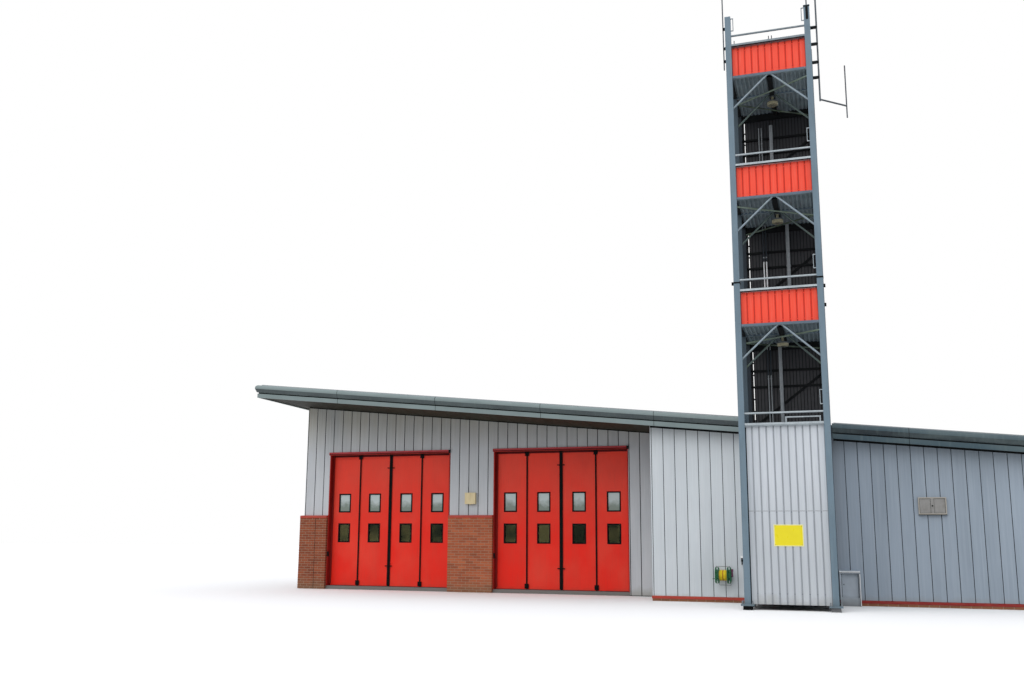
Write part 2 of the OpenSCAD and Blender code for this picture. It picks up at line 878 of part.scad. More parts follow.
// Beams of a platform whose top is at z and whose front starts at y0
module platform_beams(z, y0) {
    x0 = tower_x + column_s;
    x1 = tower_x1 - column_s;
    side_x = tower_x + side_set;
    block([x0, y0, z - beam_h], [x1, y0 + beam_w, z]);
    block([x0, tower_y1 - beam_w, z - rear_beam_h], [x1, tower_y1, z]);
    both_sides()
        block([side_x, tower_y0 + column_s, z - beam_h], [side_x + post_s, tower_y1 - column_s, z]);
    block(
        [tower_mid_x - joist_w / 2, y0 + beam_w + brace_d / 2, z - joist_h],
        [tower_mid_x + joist_w / 2, tower_y1 - beam_w, z]
    );
    block(
        [side_x + post_s, tower_mid_y - beam_w / 2, z - beam_h],
        [2 * tower_mid_x - side_x - post_s, tower_mid_y + beam_w / 2, z]
    );
}

// Platform number n: its beams and the ribbed decking on them. The lower cladding passes in
// front of the lowest one and on its sides
module tower_platform(n) {
    z = platform_z(n);
    y0 = tower_y0 + (n == 1 ? column_s : frame_set);
    deck_x0 = tower_x + (n == 1 ? side_set : frame_set);
    color("#5d6c78")
        difference() {
            union() {
                platform_beams(z, y0);
                block([tower_x + column_s, y0, z - deck_sheet_t], [tower_x1 - column_s, tower_y1, z]);
                block(
                    [deck_x0, tower_y0 + column_s, z - deck_sheet_t],
                    [2 * tower_mid_x - deck_x0, tower_y1 - column_s, z]
                );
                translate([tower_mid_x, tower_y1, z - deck_sheet_t])
                    rotate([90, 0, 0])
                        linear_extrude(tower_y1 - y0) deck_ribs();
            }
            if (n < 4) {
                for (x = conduit_x)
                    translate([x, conduit_y, z - platform_t - cut])
                        cylinder(h = platform_t + 2 * cut, d = conduit_d + 2 * fit);
                translate([riser_x + (n == 3 ? riser_step : 0), riser_y, z - platform_t - cut])
                    cylinder(h = platform_t + 2 * cut, d = riser_d + 2 * fit);
            }
        }
}

module tower_platform_1() { tower_platform(1); }
module tower_platform_2() { tower_platform(2); }
module tower_platform_3() { tower_platform(3); }
module tower_platform_4() { tower_platform(4); }

// Sheets between the columns on the tower's front and sides, standing at height z
module tower_ring_sheets(z, h) {
    translate([tower_x + column_s, tower_y0 + column_s, z])
        profiled_sheet(inner_w, h);
    both_sides()
        translate([tower_x + side_set, tower_y1 - column_s, z])
            rotate([0, 0, -90])
                profiled_sheet(inner_d, h);
}

module tower_lower_cladding() {
    color("#c9ccd2")
        tower_ring_sheets(cladding_z0, first_floor_z + panel_h - cladding_z0);
}

module door_1_surround() { door_surround(door_1_x); }
module door_2_surround() { door_surround(door_2_x); }
module door_1_leaves() { door_leaves(door_1_x); }
module door_2_leaves() { door_leaves(door_2_x); }

module tower_red_panels() {
    color("#f2554a") {
        for (n = [2 : 4]) tower_ring_sheets(platform_z(n), panel_h);
    }
}

module tower_rear_cladding() {
    color("#9aa0a8") {
        translate([tower_x + slit_x, tower_y1, rear_sheet_z0])
            rotate([0, 0, 180])
                profiled_sheet(slit_x, rear_sheet_h);
        translate([tower_x1, tower_y1, rear_sheet_z0])
            rotate([0, 0, 180])
                profiled_sheet(tower_w - slit_x - slit_w, rear_sheet_h);
        for (up = [slit_tie_pitch : slit_tie_pitch : rear_sheet_h - slit_tie_h])
            translate([tower_x + slit_x, tower_y1, rear_sheet_z0 + up])
                cube([slit_w, slit_tie_t, slit_tie_h]);
    }
}

module tower_rear_girts() {
    x0 = tower_x + column_s;
    x1 = tower_x1 - column_s;
    y = tower_y1 - girt_w;
    color("#4b555e")
        for (n = [2 : 4]) {
            z = platform_z(n);
            for (down = girt_down)
                block([x0, y, z - down], [x1, tower_y1, z - down + girt_w]);
            intersection() {
                block([x0, y, z - storey_h], [x1, tower_y1, z - rear_beam_h]);
                diagonal_bar(
                    [x0 - girt_w, y, z - diagonal_down[0]],
                    [x1 + girt_w, y, z - diagonal_down[1]], girt_w
                );
            }
        }
}

// Flat bar that slopes in the XZ plane, square in section
module diagonal_bar(a, b, s) {
    v = b - a;
    translate(a)
        rotate([0, -atan2(v.z, v.x), 0])
            cube([norm(v), s, s]);
}

// Inverted V of two tubes below a platform's edge beams, in the plane at y, from near the middle
// at a distance apex to the uprights at foot_x and its mirror image
module knee_pair(y, z, foot_x, apex) {
    top = z - beam_h;
    reach = tower_mid_x - foot_x;
    intersection() {
        block(
            [foot_x, y - brace_d, top - brace_drop - 2 * brace_d],
            [foot_x + 2 * reach, y + brace_d, top]
        );
        for (side = [-1, 1]) {
            high = [tower_mid_x + side * apex, y, top];
            low = [tower_mid_x + side * (reach + brace_d), y, top - brace_drop];
            bar(high + (high - low) / 10, low, brace_d);
        }
    }
}

module tower_knee_braces() {
    color("#8b9ba6")
        for (n = [2 : 4]) {
            knee_pair(tower_y0 + column_s / 2, platform_z(n), tower_x + column_s, brace_apex);
            knee_pair(
                tower_mid_y, platform_z(n), tower_x + side_set + post_s, joist_w / 2 + brace_d * 3 / 4
            );
        }
}

// Tubes in plan under a platform, from the left middle post to the right columns
module plan_pair(z) {
    post_x = tower_x + side_set + post_s;
    far_x = tower_x1 - column_s;
    intersection() {
        block([post_x, tower_y0, z - plan_brace_d], [far_x, tower_y1, z + plan_brace_d]);
        for (y = [tower_y0 + column_s / 2, tower_y1 - column_s / 2])
            bar([post_x - cut, tower_mid_y, z], [far_x + cut, y, z], plan_brace_d);
    }
}

module tower_plan_braces() {
    color("#7c8a72") {
        for (n = [2, 4]) plan_pair(platform_z(n) - plan_brace_down);
        translate([2 * tower_mid_x, 0, 0])
            mirror([1, 0, 0]) plan_pair(platform_z(3) - plan_brace_down);
    }
}

// Handrail, capping rail and the plate that closes it down to the sheets, along one side and
// drawn along +X; the plate reaches inwards, to +Y
module guard(length, inward) {
    translate([0, 0, rail_h - rail_d / 2])
        rotate([0, 90, 0]) cylinder(h = length, d = rail_d, $fn = 16);
    block([0, -cap_d / 2, cap_z - cap_h], [length, cap_d / 2, cap_z]);
    block([0, 0, panel_h], [length, inward, cap_z - cap_h]);
}

// Upright grab handle on the inner face of a front column, its middle at height z; side is 1
// on the right column
module grab_handle(side, z) {
    column_x = side > 0 ? tower_x1 - column_s : tower_x + column_s;
    y = tower_y0 + column_s / 2;
    out_x = column_x - side * handle_out;
    bar([out_x, y, z - handle_h / 2], [out_x, y, z + handle_h / 2], handle_d);
    for (end = [-1, 1])
        block(
            [min(column_x, out_x), y - handle_d / 2, z + end * (handle_h - handle_d) / 2 - handle_d / 2],
            [max(column_x, out_x), y + handle_d / 2, z + end * (handle_h - handle_d) / 2 + handle_d / 2]
        );
}

// Low frame of tube on the capping rail of the lowest opening
module guard_frame() {
    x1 = tower_x1 - column_s - low_frame_in;
    x0 = x1 - low_frame_w;
    y = tower_y0 + frame_set + cap_d / 2;
    z = first_floor_z + cap_z;
    bar([x0, y, z + low_frame_h], [x1, y, z + low_frame_h], low_frame_d);
    for (x = [x0 + low_frame_d / 2, x1 - low_frame_d / 2])
        translate([x, y, z]) cylinder(h = low_frame_h, d = low_frame_d, $fn = 16);
}

module tower_handrails() {
    rail_in = frame_set + cap_d / 2;
    color("#a8b2b8") {
        for (side = [-1, 1]) grab_handle(side, column_z - handle_top);
        for (n = [1 : 3]) grab_handle(1, platform_z(n) + handle_up);
        guard_frame();
        for (n = [1 : 4]) {
            translate([tower_x + column_s, tower_y0 + rail_in, platform_z(n)])
                guard(inner_w, column_s - rail_in);
            both_sides()
                for (y = [tower_y1 - column_s, tower_mid_y - post_s / 2])
                    translate([tower_x + rail_in, y, platform_z(n)])
                        rotate([0, 0, -90]) guard((inner_d - post_s) / 2, cap_d / 2);
        }
    }
}

// Riser pipe, which steps aside in the second storey, and two thin conduits
module dry_riser() {
    low_z = platform_z(2) + riser_bend;
    high_z = platform_z(3) + riser_bend;
    color("#b9bfc2") {
        translate([riser_x, riser_y, 0]) cylinder(h = low_z, d = riser_d);
        translate([riser_x + riser_step, riser_y, low_z]) cylinder(h = high_z - low_z, d = riser_d);
        translate([riser_x, riser_y, high_z]) cylinder(h = riser_top - high_z, d = riser_d);
        for (z = [low_z, high_z]) {
            translate([riser_x, riser_y, z]) rotate([0, 90, 0]) cylinder(h = riser_step, d = riser_d);
            for (x = [riser_x, riser_x + riser_step])
                translate([x, riser_y, z]) sphere(d = riser_d);
        }
        for (x = conduit_x)
            translate([x, conduit_y, 0]) cylinder(h = riser_top, d = conduit_d);
    }
}

// Drum lamps on stems below the middles of the platforms
module platform_lamps() {
    color("#b8ad8c")
        for (n = [2 : 4]) {
            foot_z = platform_z(n) - beam_h - lamp_down - lamp_h / 2;
            translate([tower_mid_x, tower_mid_y, foot_z])
                rotate_extrude()
                    polygon([
                        [0, 0], [lamp_d / 2 - lamp_edge, 0], [lamp_d / 2, lamp_edge],
                        [lamp_d / 2, lamp_h], [lamp_stem_d / 2, lamp_h],
                        [lamp_stem_d / 2, platform_z(n) - joist_h - foot_z],
                        [0, platform_z(n) - joist_h - foot_z]
                    ]);
        }
}

module aerial_mast() {
    mast_x = tower_x1 + mast_gap;
    mast_y = tower_y0 + column_s / 2;
    mast_z = platform_z(4) - mast_foot;
    arm_foot = [mast_x, mast_y, mast_z + mast_d];
    color("#7d8891") {
        translate([mast_x, mast_y, mast_z])
            cylinder(h = column_z + mast_over - mast_z, d = mast_d, $fn = 16);
        for (up = mast_brackets)
            block(
                [tower_x1, mast_y - mast_d / 2, platform_z(4) + up],
                [mast_x, mast_y + mast_d / 2, platform_z(4) + up + mast_d]
            );
        bar(arm_foot, arm_foot + mast_arm, mast_d);
        translate([mast_x + mast_arm.x, mast_y + mast_arm.y, mast_z - arm_aerial_drop])
            cylinder(h = arm_aerial_l, d = whip_d, $fn = 16);
    }
}

module aerial_whip() {
    whip_y = tower_y0 + column_s / 2;
    whip_x = tower_x - whip_gap;
    whip_z = platform_z(4) + whip_foot;
    color("#7d8891") {
        translate([whip_x, whip_y, whip_z])
            cylinder(h = column_z + whip_over - whip_z, d = whip_d, $fn = 16);
        for (up = whip_brackets)
            block(
                [whip_x, whip_y - mast_d / 2, platform_z(4) + up],
                [tower_x, whip_y + mast_d / 2, platform_z(4) + up + mast_d]
            );
        translate([tower_x1 - column_s / 2, whip_y, column_z])
            cylinder(h = whip_over, d = whip_d, $fn = 16);
    }
}

// Sounder box on the middle pier: back tray, deeper cover and a foot for the cable
module alarm_box() {
    face = alarm_w / 2;
    color("#c8bc8a")
        translate([door_2_x - door_gap / 2, step_d, floor_h + alarm_z]) {
            block([-face, -alarm_d + lid_d, 0], [face, 0, alarm_h]);
            block(
                [-face - lid_lap, -alarm_d, -lid_lap],
                [face + lid_lap, -alarm_d + lid_d, alarm_h + lid_lap]
            );
            translate([0, -alarm_d / 2, -gland_d]) cylinder(h = gland_d + cut, d = gland_d);
        }
}

// Heater grille housing on the wing: rim, two sunk fields and a bar with a round lock
module wing_cabinet() {
    rim = cabinet_rim;
    field_w = (cabinet_w - cabinet_bar) / 2 - rim;
    color("#a8a49a")
        translate([cabinet_x, 0, floor_h + cabinet_z])
            difference() {
                union() {
                    block([0, -cabinet_d, 0], [cabinet_w, 0, cabinet_h]);
                    translate([cabinet_w / 2, -cabinet_d, cabinet_h / 2])
                        rotate([90, 0, 0]) cylinder(h = cabinet_lock_t, d = cabinet_lock_d);
                }
                for (x = [rim, cabinet_w - rim - field_w])
                    block(
                        [x, -cabinet_d - cut, rim],
                        [x + field_w, -cabinet_d + rim / 2, cabinet_h - rim]
                    );
            }
}

module notice_plate() {
    color("#f5e616")
        translate([tower_x + plate_x, tower_y0 + column_s - rib_h, floor_h + plate_z])
            block([0, -plate_t, 0], [plate_w, 0, plate_h]);
}

// Riser inlet cupboard beside the tower: two sides, sloping hood, back and a set-back door
module riser_inlet_box() {
    side_d = inlet_d - 2 * drip_out;
    color("#b4b8ba")
        translate([tower_x1 + inlet_gap, 0, 0]) {
            for (x = [0, inlet_w - inlet_side])
                block([x, -inlet_d, 0], [x + inlet_side, -2 * drip_out, inlet_h - inlet_hood]);
            translate([0, 0, inlet_h - inlet_hood])
                rotate([90, 0, 90])
                    linear_extrude(inlet_w)
                        polygon([
                            [0, 0], [0, inlet_hood], [-inlet_d - drip_out, inlet_hood - drip_out],
                            [-inlet_d - drip_out, 0]
                        ]);
            block(
                [inlet_side, -inlet_d + inlet_set, inlet_foot],
                [inlet_w - inlet_side, -inlet_d + inlet_set + inlet_side / 2, inlet_h - inlet_hood]
            );
            block([inlet_side, -side_d, 0], [inlet_w - inlet_side, -2 * drip_out, inlet_foot]);
        }
}

// Hose reel on the wing wall: wall plate, two arms, two drum sides and the wound hose
module hose_reel() {
    half = reel_w / 2;
    translate([tower_x - reel_from_tower, 0, floor_h + reel_z]) {
        color("#1f4a33") {
            block([-half, -reel_plate, -reel_d / 3], [half, 0, reel_d / 3]);
            for (x = [-half, half - reel_disc_t]) {
                block([x, -reel_out, -reel_arm_h / 2], [x + reel_disc_t, 0, reel_arm_h / 2]);
                translate([x, -reel_out, 0])
                    rotate([0, 90, 0]) cylinder(h = reel_disc_t, d = reel_d, $fn = 48);
            }
        }
        color("#d8c21c")
            translate([-half + reel_disc_t, -reel_out, 0])
                rotate([0, 90, 0]) cylinder(h = reel_w - 2 * reel_disc_t, d = reel_hose_d, $fn = 48);
    }
}

// Bib tap with its box beside the tower's left column: box, body and spout
module outside_tap() {
    color("#5a6064")
        translate([tower_x - tap_from_tower, 0, floor_h + tap_z]) {
            block([-tap_w / 2, -tap_box_d, 0], [tap_w / 2, 0, tap_box_h]);
            block([-tap_body_w / 2, -tap_box_d, -tap_body_h], [tap_body_w / 2, 0, 0]);
            translate([0, -tap_box_d, -tap_body_h - tap_spout_h])
                cylinder(h = tap_spout_h + tap_body_h / 2, d = tap_spout_d);
        }
}

floor_slab();
bay_wall_piers();
bay_wall_over_doors();
step_return_wall();
wing_front_wall();
left_end_wall();
right_end_wall();
back_wall();
brick_piers();
brick_plinth_left_end();
brick_plinth_back();
brick_base_course();
plinth_flashing();
wing_drip_trim();
door_1_surround();
door_2_surround();
door_1_leaves();
door_2_leaves();
door_glazing();
window_rubbers();
door_seals();
roof_deck();
roof_fascia_front();
roof_fascia_back();
roof_verge_left();
roof_verge_right();
soffit_canopy();
soffit_wing();
soffit_back();
soffit_ends();
tower_columns_front();
tower_columns_rear();
tower_side_posts();
tower_platform_1();
tower_platform_2();
tower_platform_3();
tower_platform_4();
tower_lower_cladding();
tower_red_panels();
tower_rear_cladding();
tower_rear_girts();
tower_knee_braces();
tower_plan_braces();
tower_handrails();
dry_riser();
platform_lamps();
aerial_mast();
aerial_whip();
alarm_box();
wing_cabinet();
notice_plate();
riser_inlet_box();
hose_reel();
outside_tap();
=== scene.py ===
"""Looks of a two-bay fire station: bricks, planks, sheets, doors, roof edge and drill tower."""

import functools
import logging
import math
import random
from collections.abc import Sequence
from dataclasses import dataclass
from enum import Enum

import bmesh
import bpy
from mathutils import Matrix, Vector


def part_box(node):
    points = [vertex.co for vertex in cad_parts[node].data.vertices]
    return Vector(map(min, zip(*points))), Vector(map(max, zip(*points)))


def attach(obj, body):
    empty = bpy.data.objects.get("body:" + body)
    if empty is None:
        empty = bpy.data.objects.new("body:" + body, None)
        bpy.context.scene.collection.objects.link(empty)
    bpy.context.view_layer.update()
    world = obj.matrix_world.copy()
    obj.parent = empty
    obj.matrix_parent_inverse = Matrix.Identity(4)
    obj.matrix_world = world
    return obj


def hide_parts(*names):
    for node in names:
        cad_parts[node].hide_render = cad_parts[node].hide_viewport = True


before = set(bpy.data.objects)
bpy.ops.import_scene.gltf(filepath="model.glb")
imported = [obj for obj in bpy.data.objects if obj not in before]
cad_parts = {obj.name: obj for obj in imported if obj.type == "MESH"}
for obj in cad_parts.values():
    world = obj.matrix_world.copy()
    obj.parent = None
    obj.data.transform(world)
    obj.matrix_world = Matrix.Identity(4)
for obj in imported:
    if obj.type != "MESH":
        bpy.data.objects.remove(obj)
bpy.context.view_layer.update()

logger = logging.getLogger("fire_station")
MM = 0.001
ALONG = Vector((1.0, 0.0, 0.0))
UP = Vector((0.0, 0.0, 1.0))

Tree = bpy.types.NodeTree
Node = bpy.types.Node
Output = bpy.types.NodeSocket
Colour = Output | tuple[float, ...]
Point = Sequence[float]
Verts = list[bmesh.types.BMVert]


def linear(hex_code: str) -> tuple[float, float, float, float]:
    """Turns an sRGB colour into linear light.

    Args:
        hex_code: Colour as #RRGGBB.

    Returns:
        Linear red, green and blue, with an alpha of 1.
    """
    levels = [int(hex_code[i:i + 2], 16) / 255 for i in (1, 3, 5)]
    light = [c / 12.92 if c <= 0.04045 else ((c + 0.055) / 1.055) ** 2.4 for c in levels]
    return (light[0], light[1], light[2], 1.0)


def set_inputs(tree: Tree, node: Node, inputs: dict[str | int, object]) -> None:
    """Sets a node's inputs.

    Args:
        tree: Node tree that holds the node.
        node: The node.
        inputs: Values by input; an output socket is linked instead.
    """
    for name, value in inputs.items():
        if isinstance(value, Output):
            tree.links.new(value, node.inputs[name])
        else:
            node.inputs[name].default_value = value


def add_node(tree: Tree, kind: str, inputs: dict[str | int, object] | None = None, **settings: object) -> Node:
    """Adds one shader node.

    Args:
        tree: Node tree that gets the node.
        kind: Name of the node's type after "ShaderNode".
        inputs: Values for its inputs.
        settings: Properties of the node.

    Returns:
        The new node.
    """
    node = tree.nodes.new("ShaderNode" + kind)
    for name, value in settings.items():
        setattr(node, name, value)
    set_inputs(tree, node, inputs or {})
    return node


def place_of(tree: Tree) -> Output:
    """Gives the place on the piece, in metres."""
    return add_node(tree, "TexCoord").outputs["Object"]


def tone_of(tree: Tree) -> Output:
    """Gives the shade that a piece's face carries, from 0 to 1."""
    return add_node(tree, "Attribute", attribute_name="tone").outputs["Fac"]


def axis(tree: Tree, place: Output, name: str = "Z") -> Output:
    """Takes one coordinate of a place or a direction."""
    return add_node(tree, "SeparateXYZ", {0: place}).outputs[name]


def noise(tree: Tree, place: Output, scale: float, detail: float) -> Output:
    """Makes cloudy noise, with its scale in waves for each metre."""
    return add_node(tree, "TexNoise", {"Vector": place, "Scale": scale, "Detail": detail}).outputs["Fac"]


def remap(tree: Tree, value: Output, *limits: float) -> Output:
    """Maps a value by its low and high limit to a new low and high, which are 0 and 1 when left out."""
    return add_node(tree, "MapRange", {0: value, **dict(enumerate(limits, 1))}).outputs[0]


def calculate(tree: Tree, operation: str, first: Output, second: Output | float) -> Output:
    """Calculates with two values."""
    return add_node(tree, "Math", {0: first, 1: second}, operation=operation).outputs[0]


def mix(tree: Tree, share: Output, under: Colour, over: str, blend: str = "MIX") -> Output:
    """Lays one colour over another by a share from 0 to 1."""
    inputs = {0: share, 6: under, 7: linear(over)}
    return add_node(tree, "Mix", inputs, data_type="RGBA", blend_type=blend).outputs[2]


def lighten(tree: Tree, value: Output, colour: Colour) -> Output:
    """Makes a colour lighter or darker by a factor."""
    return add_node(tree, "HueSaturation", {"Value": value, "Color": colour}).outputs[0]


def mix_shaders(tree: Tree, share: Output, first: Node, second: Node) -> Output:
    """Mixes two shaders by a share from 0, the first, to 1, the second."""
    return add_node(tree, "MixShader", {0: share, 1: first.outputs[0], 2: second.outputs[0]}).outputs[0]


def seen(tree: Tree) -> Output:
    """Is 1 for what the camera sees, mirrored or through glass too, and 0 for light alone."""
    path = add_node(tree, "LightPath").outputs
    mirrored = calculate(tree, "MAXIMUM", path["Is Camera Ray"], path["Is Glossy Ray"])
    return calculate(tree, "MAXIMUM", mirrored, path["Is Transmission Ray"])


def new_material(name: str) -> tuple[bpy.types.Material, Tree]:
    """Makes a material that still has its plain shader."""
    made = bpy.data.materials.new(name)
    made.use_nodes = True
    return made, made.node_tree


class Side(Enum):
    """The way a wall faces, as its outward direction."""

    FRONT = (0.0, -1.0, 0.0)
    BACK = (0.0, 1.0, 0.0)
    LEFT = (-1.0, 0.0, 0.0)
    RIGHT = (1.0, 0.0, 0.0)


@dataclass(frozen=True)
class Stain:
    """A second colour that lies over a finish in clouds or streaks."""

    colour: str
    size_mm: tuple[float, float, float]
    amount: float
    level: float = 0.5


@dataclass(frozen=True)
class Fade:
    """A colour multiplied over a finish that deepens along one axis, by the colour that it lets through: painted shade
    on some finishes, dirt on others.
    """

    colour: str
    axis: str
    start: float
    end: float


@dataclass(frozen=True)
class Finish:
    """An opaque surface finish: colour, roughness, grain width and depth, stains and sheen."""

    name: str
    colour: str
    roughness: float
    grain_mm: tuple[float, float]
    stains: tuple[Stain, ...]
    metallic: float = 0.0
    specular: float = 0.4
    coat: float = 0.0
    palette: tuple[str, ...] = ()
    shade: float = 0.0
    splash: str = ""
    splash_mm: float = 260.0
    # inner and under paint the faces looking back or down a colour of their own, for how light falls on them
    inner: str = ""
    under: str = ""
    fade: Fade | None = None
    spangle_mm: float = 0.0

    def base(self, tree: Tree) -> Colour:
        """Makes the colour under the stains.

        Args:
            tree: Node tree of the material.

        Returns:
            Colour output, or the plain colour where it is the same all over.
        """
        if self.palette:
            ramp = add_node(tree, "ValToRGB", {"Fac": tone_of(tree)})
            stops = ramp.color_ramp.elements
            for i, shade in enumerate(self.palette):
                stop = stops[i] if i < 2 else stops.new(1.0)
                stop.position = i / (len(self.palette) - 1)
                stop.color = linear(shade)
            return ramp.outputs["Color"]
        # Faces looking back (inner) or down (under) take a painted colour for how light falls on them
        painted_facing_colour = self.inner or self.under
        if not painted_facing_colour:
            return linear(self.colour)
        facing = axis(tree, add_node(tree, "NewGeometry").outputs["Normal"], "Y" if self.inner else "Z")
        return mix(tree, remap(tree, facing, -0.4, -0.1), linear(painted_facing_colour), self.colour)

    def stained(self, tree: Tree, place: Output, colour: Colour) -> Colour:
        """Lays the fade, which on some finishes is painted shade, the stains, the splashed foot, the face's shade and
        the zinc flakes over a colour.

        Args:
            tree: Node tree of the material.
            place: Object coordinates.
            colour: Colour under the stains.

        Returns:
            Colour output.
        """
        if self.fade:
            share = remap(tree, axis(tree, place, self.fade.axis), self.fade.start, self.fade.end)
            colour = mix(tree, share, colour, self.fade.colour, "MULTIPLY")
        for stain in self.stains:
            scaled = add_node(tree, "Mapping", {"Vector": place, "Scale": [1 / (mm * MM) for mm in stain.size_mm]})
            cloud = noise(tree, scaled.outputs[0], 1.0, 4.0)
            share = remap(tree, cloud, stain.level - 0.08, stain.level + 0.22, 0.0, stain.amount)
            colour = mix(tree, share, colour, stain.colour)
        if self.splash:
            uneven = remap(tree, noise(tree, place, 4.0, 5.0), 0.0, 1.0, 0.2, 1.8)
            level = calculate(tree, "DIVIDE", axis(tree, place), uneven)
            colour = mix(tree, remap(tree, level, 0.0, self.splash_mm * MM, 0.7, 0.0), colour, self.splash)
        if self.shade:
            share = remap(tree, tone_of(tree), 0.0, 1.0, 1 - self.shade, 1 + self.shade / 2)
            colour = lighten(tree, share, colour)
        if self.spangle_mm:
            flakes = add_node(tree, "TexVoronoi", {"Vector": place, "Scale": 1 / (self.spangle_mm * MM)})
            colour = lighten(tree, remap(tree, flakes.outputs["Color"], 0.0, 1.0, 0.88, 1.08), colour)
        return colour

    @functools.cache
    def material(self) -> bpy.types.Material:
        """Builds the material once."""
        made, tree = new_material(self.name)
        place = place_of(tree)
        gloss = remap(tree, noise(tree, place, 9.0, 3.0), 0.3, 0.7, self.roughness - 0.06, self.roughness + 0.08)
        width, depth = (mm * MM for mm in self.grain_mm)
        grain = add_node(tree, "Bump", {"Height": noise(tree, place, 1 / width, 2.0), "Distance": depth})
        set_inputs(tree, tree.nodes["Principled BSDF"], {
            "Base Color": self.stained(tree, place, self.base(tree)), "Metallic": self.metallic,
            "Specular IOR Level": self.specular, "Coat Weight": self.coat, "Roughness": gloss,
            "Normal": grain.outputs[0],
        })
        return made


@dataclass(frozen=True)
class Glass:
    """Panes with painted reflections: clear glass in the lower row, its reflections tinted in green patches, and in
    the upper row an opaque pale coat that paints the sky's reflection.
    """

    name: str
    clear: str
    painted_sky_reflection: str
    painted_reflection_low: str
    reflection_tint: str
    reflection_tint_low: str
    painted_reflection_from: float
    painted_reflection_fade: tuple[float, float]

    @functools.cache
    def material(self) -> bpy.types.Material:
        """Builds the material once."""
        made, tree = new_material(self.name)
        place = place_of(tree)
        height = axis(tree, place)
        # Painted reflection: noise patches tint the lower panes' reflections green
        reflection_patch = remap(tree, noise(tree, place, 1.7, 3.0), 0.40, 0.60)
        clear = tree.nodes["Principled BSDF"]
        set_inputs(tree, clear, {
            "Base Color": linear(self.clear), "Transmission Weight": 1.0, "Roughness": 0.02, "IOR": 1.7,
            "Specular Tint": mix(tree, reflection_patch, linear(self.reflection_tint), self.reflection_tint_low),
        })
        # Painted reflection: the upper panes get an opaque pale coat, darker and greener towards their foot
        uneven = calculate(tree, "ADD", height, remap(tree, noise(tree, place, 6.0, 3.0), 0.0, 1.0, -0.16, 0.16))
        tint = mix(tree, remap(tree, uneven, *self.painted_reflection_fade), linear(self.painted_reflection_low), self.painted_sky_reflection)
        painted_sky_reflection = add_node(tree, "BsdfPrincipled", {"Base Color": tint, "Roughness": 0.16, "Coat Weight": 0.6})
        both = mix_shaders(tree, calculate(tree, "GREATER_THAN", height, self.painted_reflection_from), clear, painted_sky_reflection)
        set_inputs(tree, tree.nodes["Material Output"], {"Surface": both})
        return made


# Sizes of stains, in mm: broad clouds, rain runs and fine streaks on tall sheets
CLOUDS, RUNS, STREAKS = (900, 900, 2600), (45, 45, 1900), (14, 14, 900)
# Grain of smooth coats, painted steel and moulded plastic: its width and depth, in mm
COAT, PAINT, ENAMEL, MOULDED = (1.5, 0.02), (2, 0.02), (1.5, 0.03), (1, 0.05)

# Plank faces of the bays: satin polyester coat on steel, rain-streaked, each plank a touch lighter or
# darker; the fade paints the canopy's shade, darker and yellower towards the top
PLANK = Finish(
    "light_grey_coated_steel", "#c5c9cd", 0.42, COAT, (
        Stain("#a7adb2", CLOUDS, 0.55), Stain("#d1d5d7", RUNS, 0.35, 0.52), Stain("#9e9f9a", STREAKS, 0.22, 0.56),
    ), shade=0.05, splash="#959286", fade=Fade("#ece7d7", "Z", 4.1, 5.1),
)
# The same planks on the wing's left half, painted lighter: the lit copy of the wing's planks
PLANK_LIT = Finish(
    "lit_light_grey_coated_steel", "#d4dbdf", 0.42, COAT, (
        Stain("#bbc3c8", CLOUDS, 0.5), Stain("#dee3e6", RUNS, 0.35, 0.52), Stain("#aaadaa", STREAKS, 0.2, 0.56),
    ), shade=0.04, splash="#a6a49a", splash_mm=200,
)
# The same planks right of the tower, painted darker and bluer: the shaded copy of the wing's planks
PLANK_SHADED = Finish(
    "shaded_blue_grey_coated_steel", "#99a6b3", 0.42, COAT, (
        Stain("#83909c", CLOUDS, 0.55), Stain("#a9b5c0", RUNS, 0.35, 0.52), Stain("#7c8388", STREAKS, 0.22, 0.56),
    ), shade=0.05, splash="#8a8a84",
)
# Back of the wall seen only in the joints between planks, and inside the hall
JOINT = Finish(
    "dark_joint_sealant", "#2b2d30", 0.8, (4, 0.3), (Stain("#17181a", (60, 60, 200), 0.6),), specular=0.15,
)
# The same joints on the wing, where daylight reaches into them
JOINT_PALE = Finish(
    "pale_joint_sealant", "#474c51", 0.8, (4, 0.3), (Stain("#33373a", (60, 60, 200), 0.6),), specular=0.15,
)
# Facing bricks: sand-creased clay in five burns, matt and a little rough; the fade paints shade, darker towards the
# left end
BRICK = Finish(
    "red_facing_brick", "#aa5738", 0.85, (3, 0.9), (
        Stain("#934e33", (18, 18, 14), 0.35), Stain("#da9469", (9, 9, 7), 0.25, 0.58),
    ), palette=("#8b472d", "#9f5133", "#aa5938", "#b7623e", "#c37048"), splash="#7a634b", splash_mm=350,
    fade=Fade("#cabdb8", "X", -8.0, -9.5),
)
# Mortar: weathered sand and cement, pale and porous
MORTAR = Finish("sand_cement_mortar", "#ab9981", 0.95, (2, 0.7), (Stain("#8e7e6a", (30, 30, 30), 0.6),))
# Door leaves: satin red paint on flat steel sheet, fading a little in clouds
DOOR_RED = Finish(
    "satin_red_door_paint", "#f4422e", 0.4, PAINT, (
        Stain("#d84030", (700, 700, 1500), 0.5, 0.48), Stain("#f15440", (900, 900, 1200), 0.4),
        Stain("#b04135", (16, 16, 700), 0.25, 0.6),
    ), specular=0.22, splash="#964033", splash_mm=180, fade=Fade("#ff9d80", "Z", 3.5, 1.7),
)
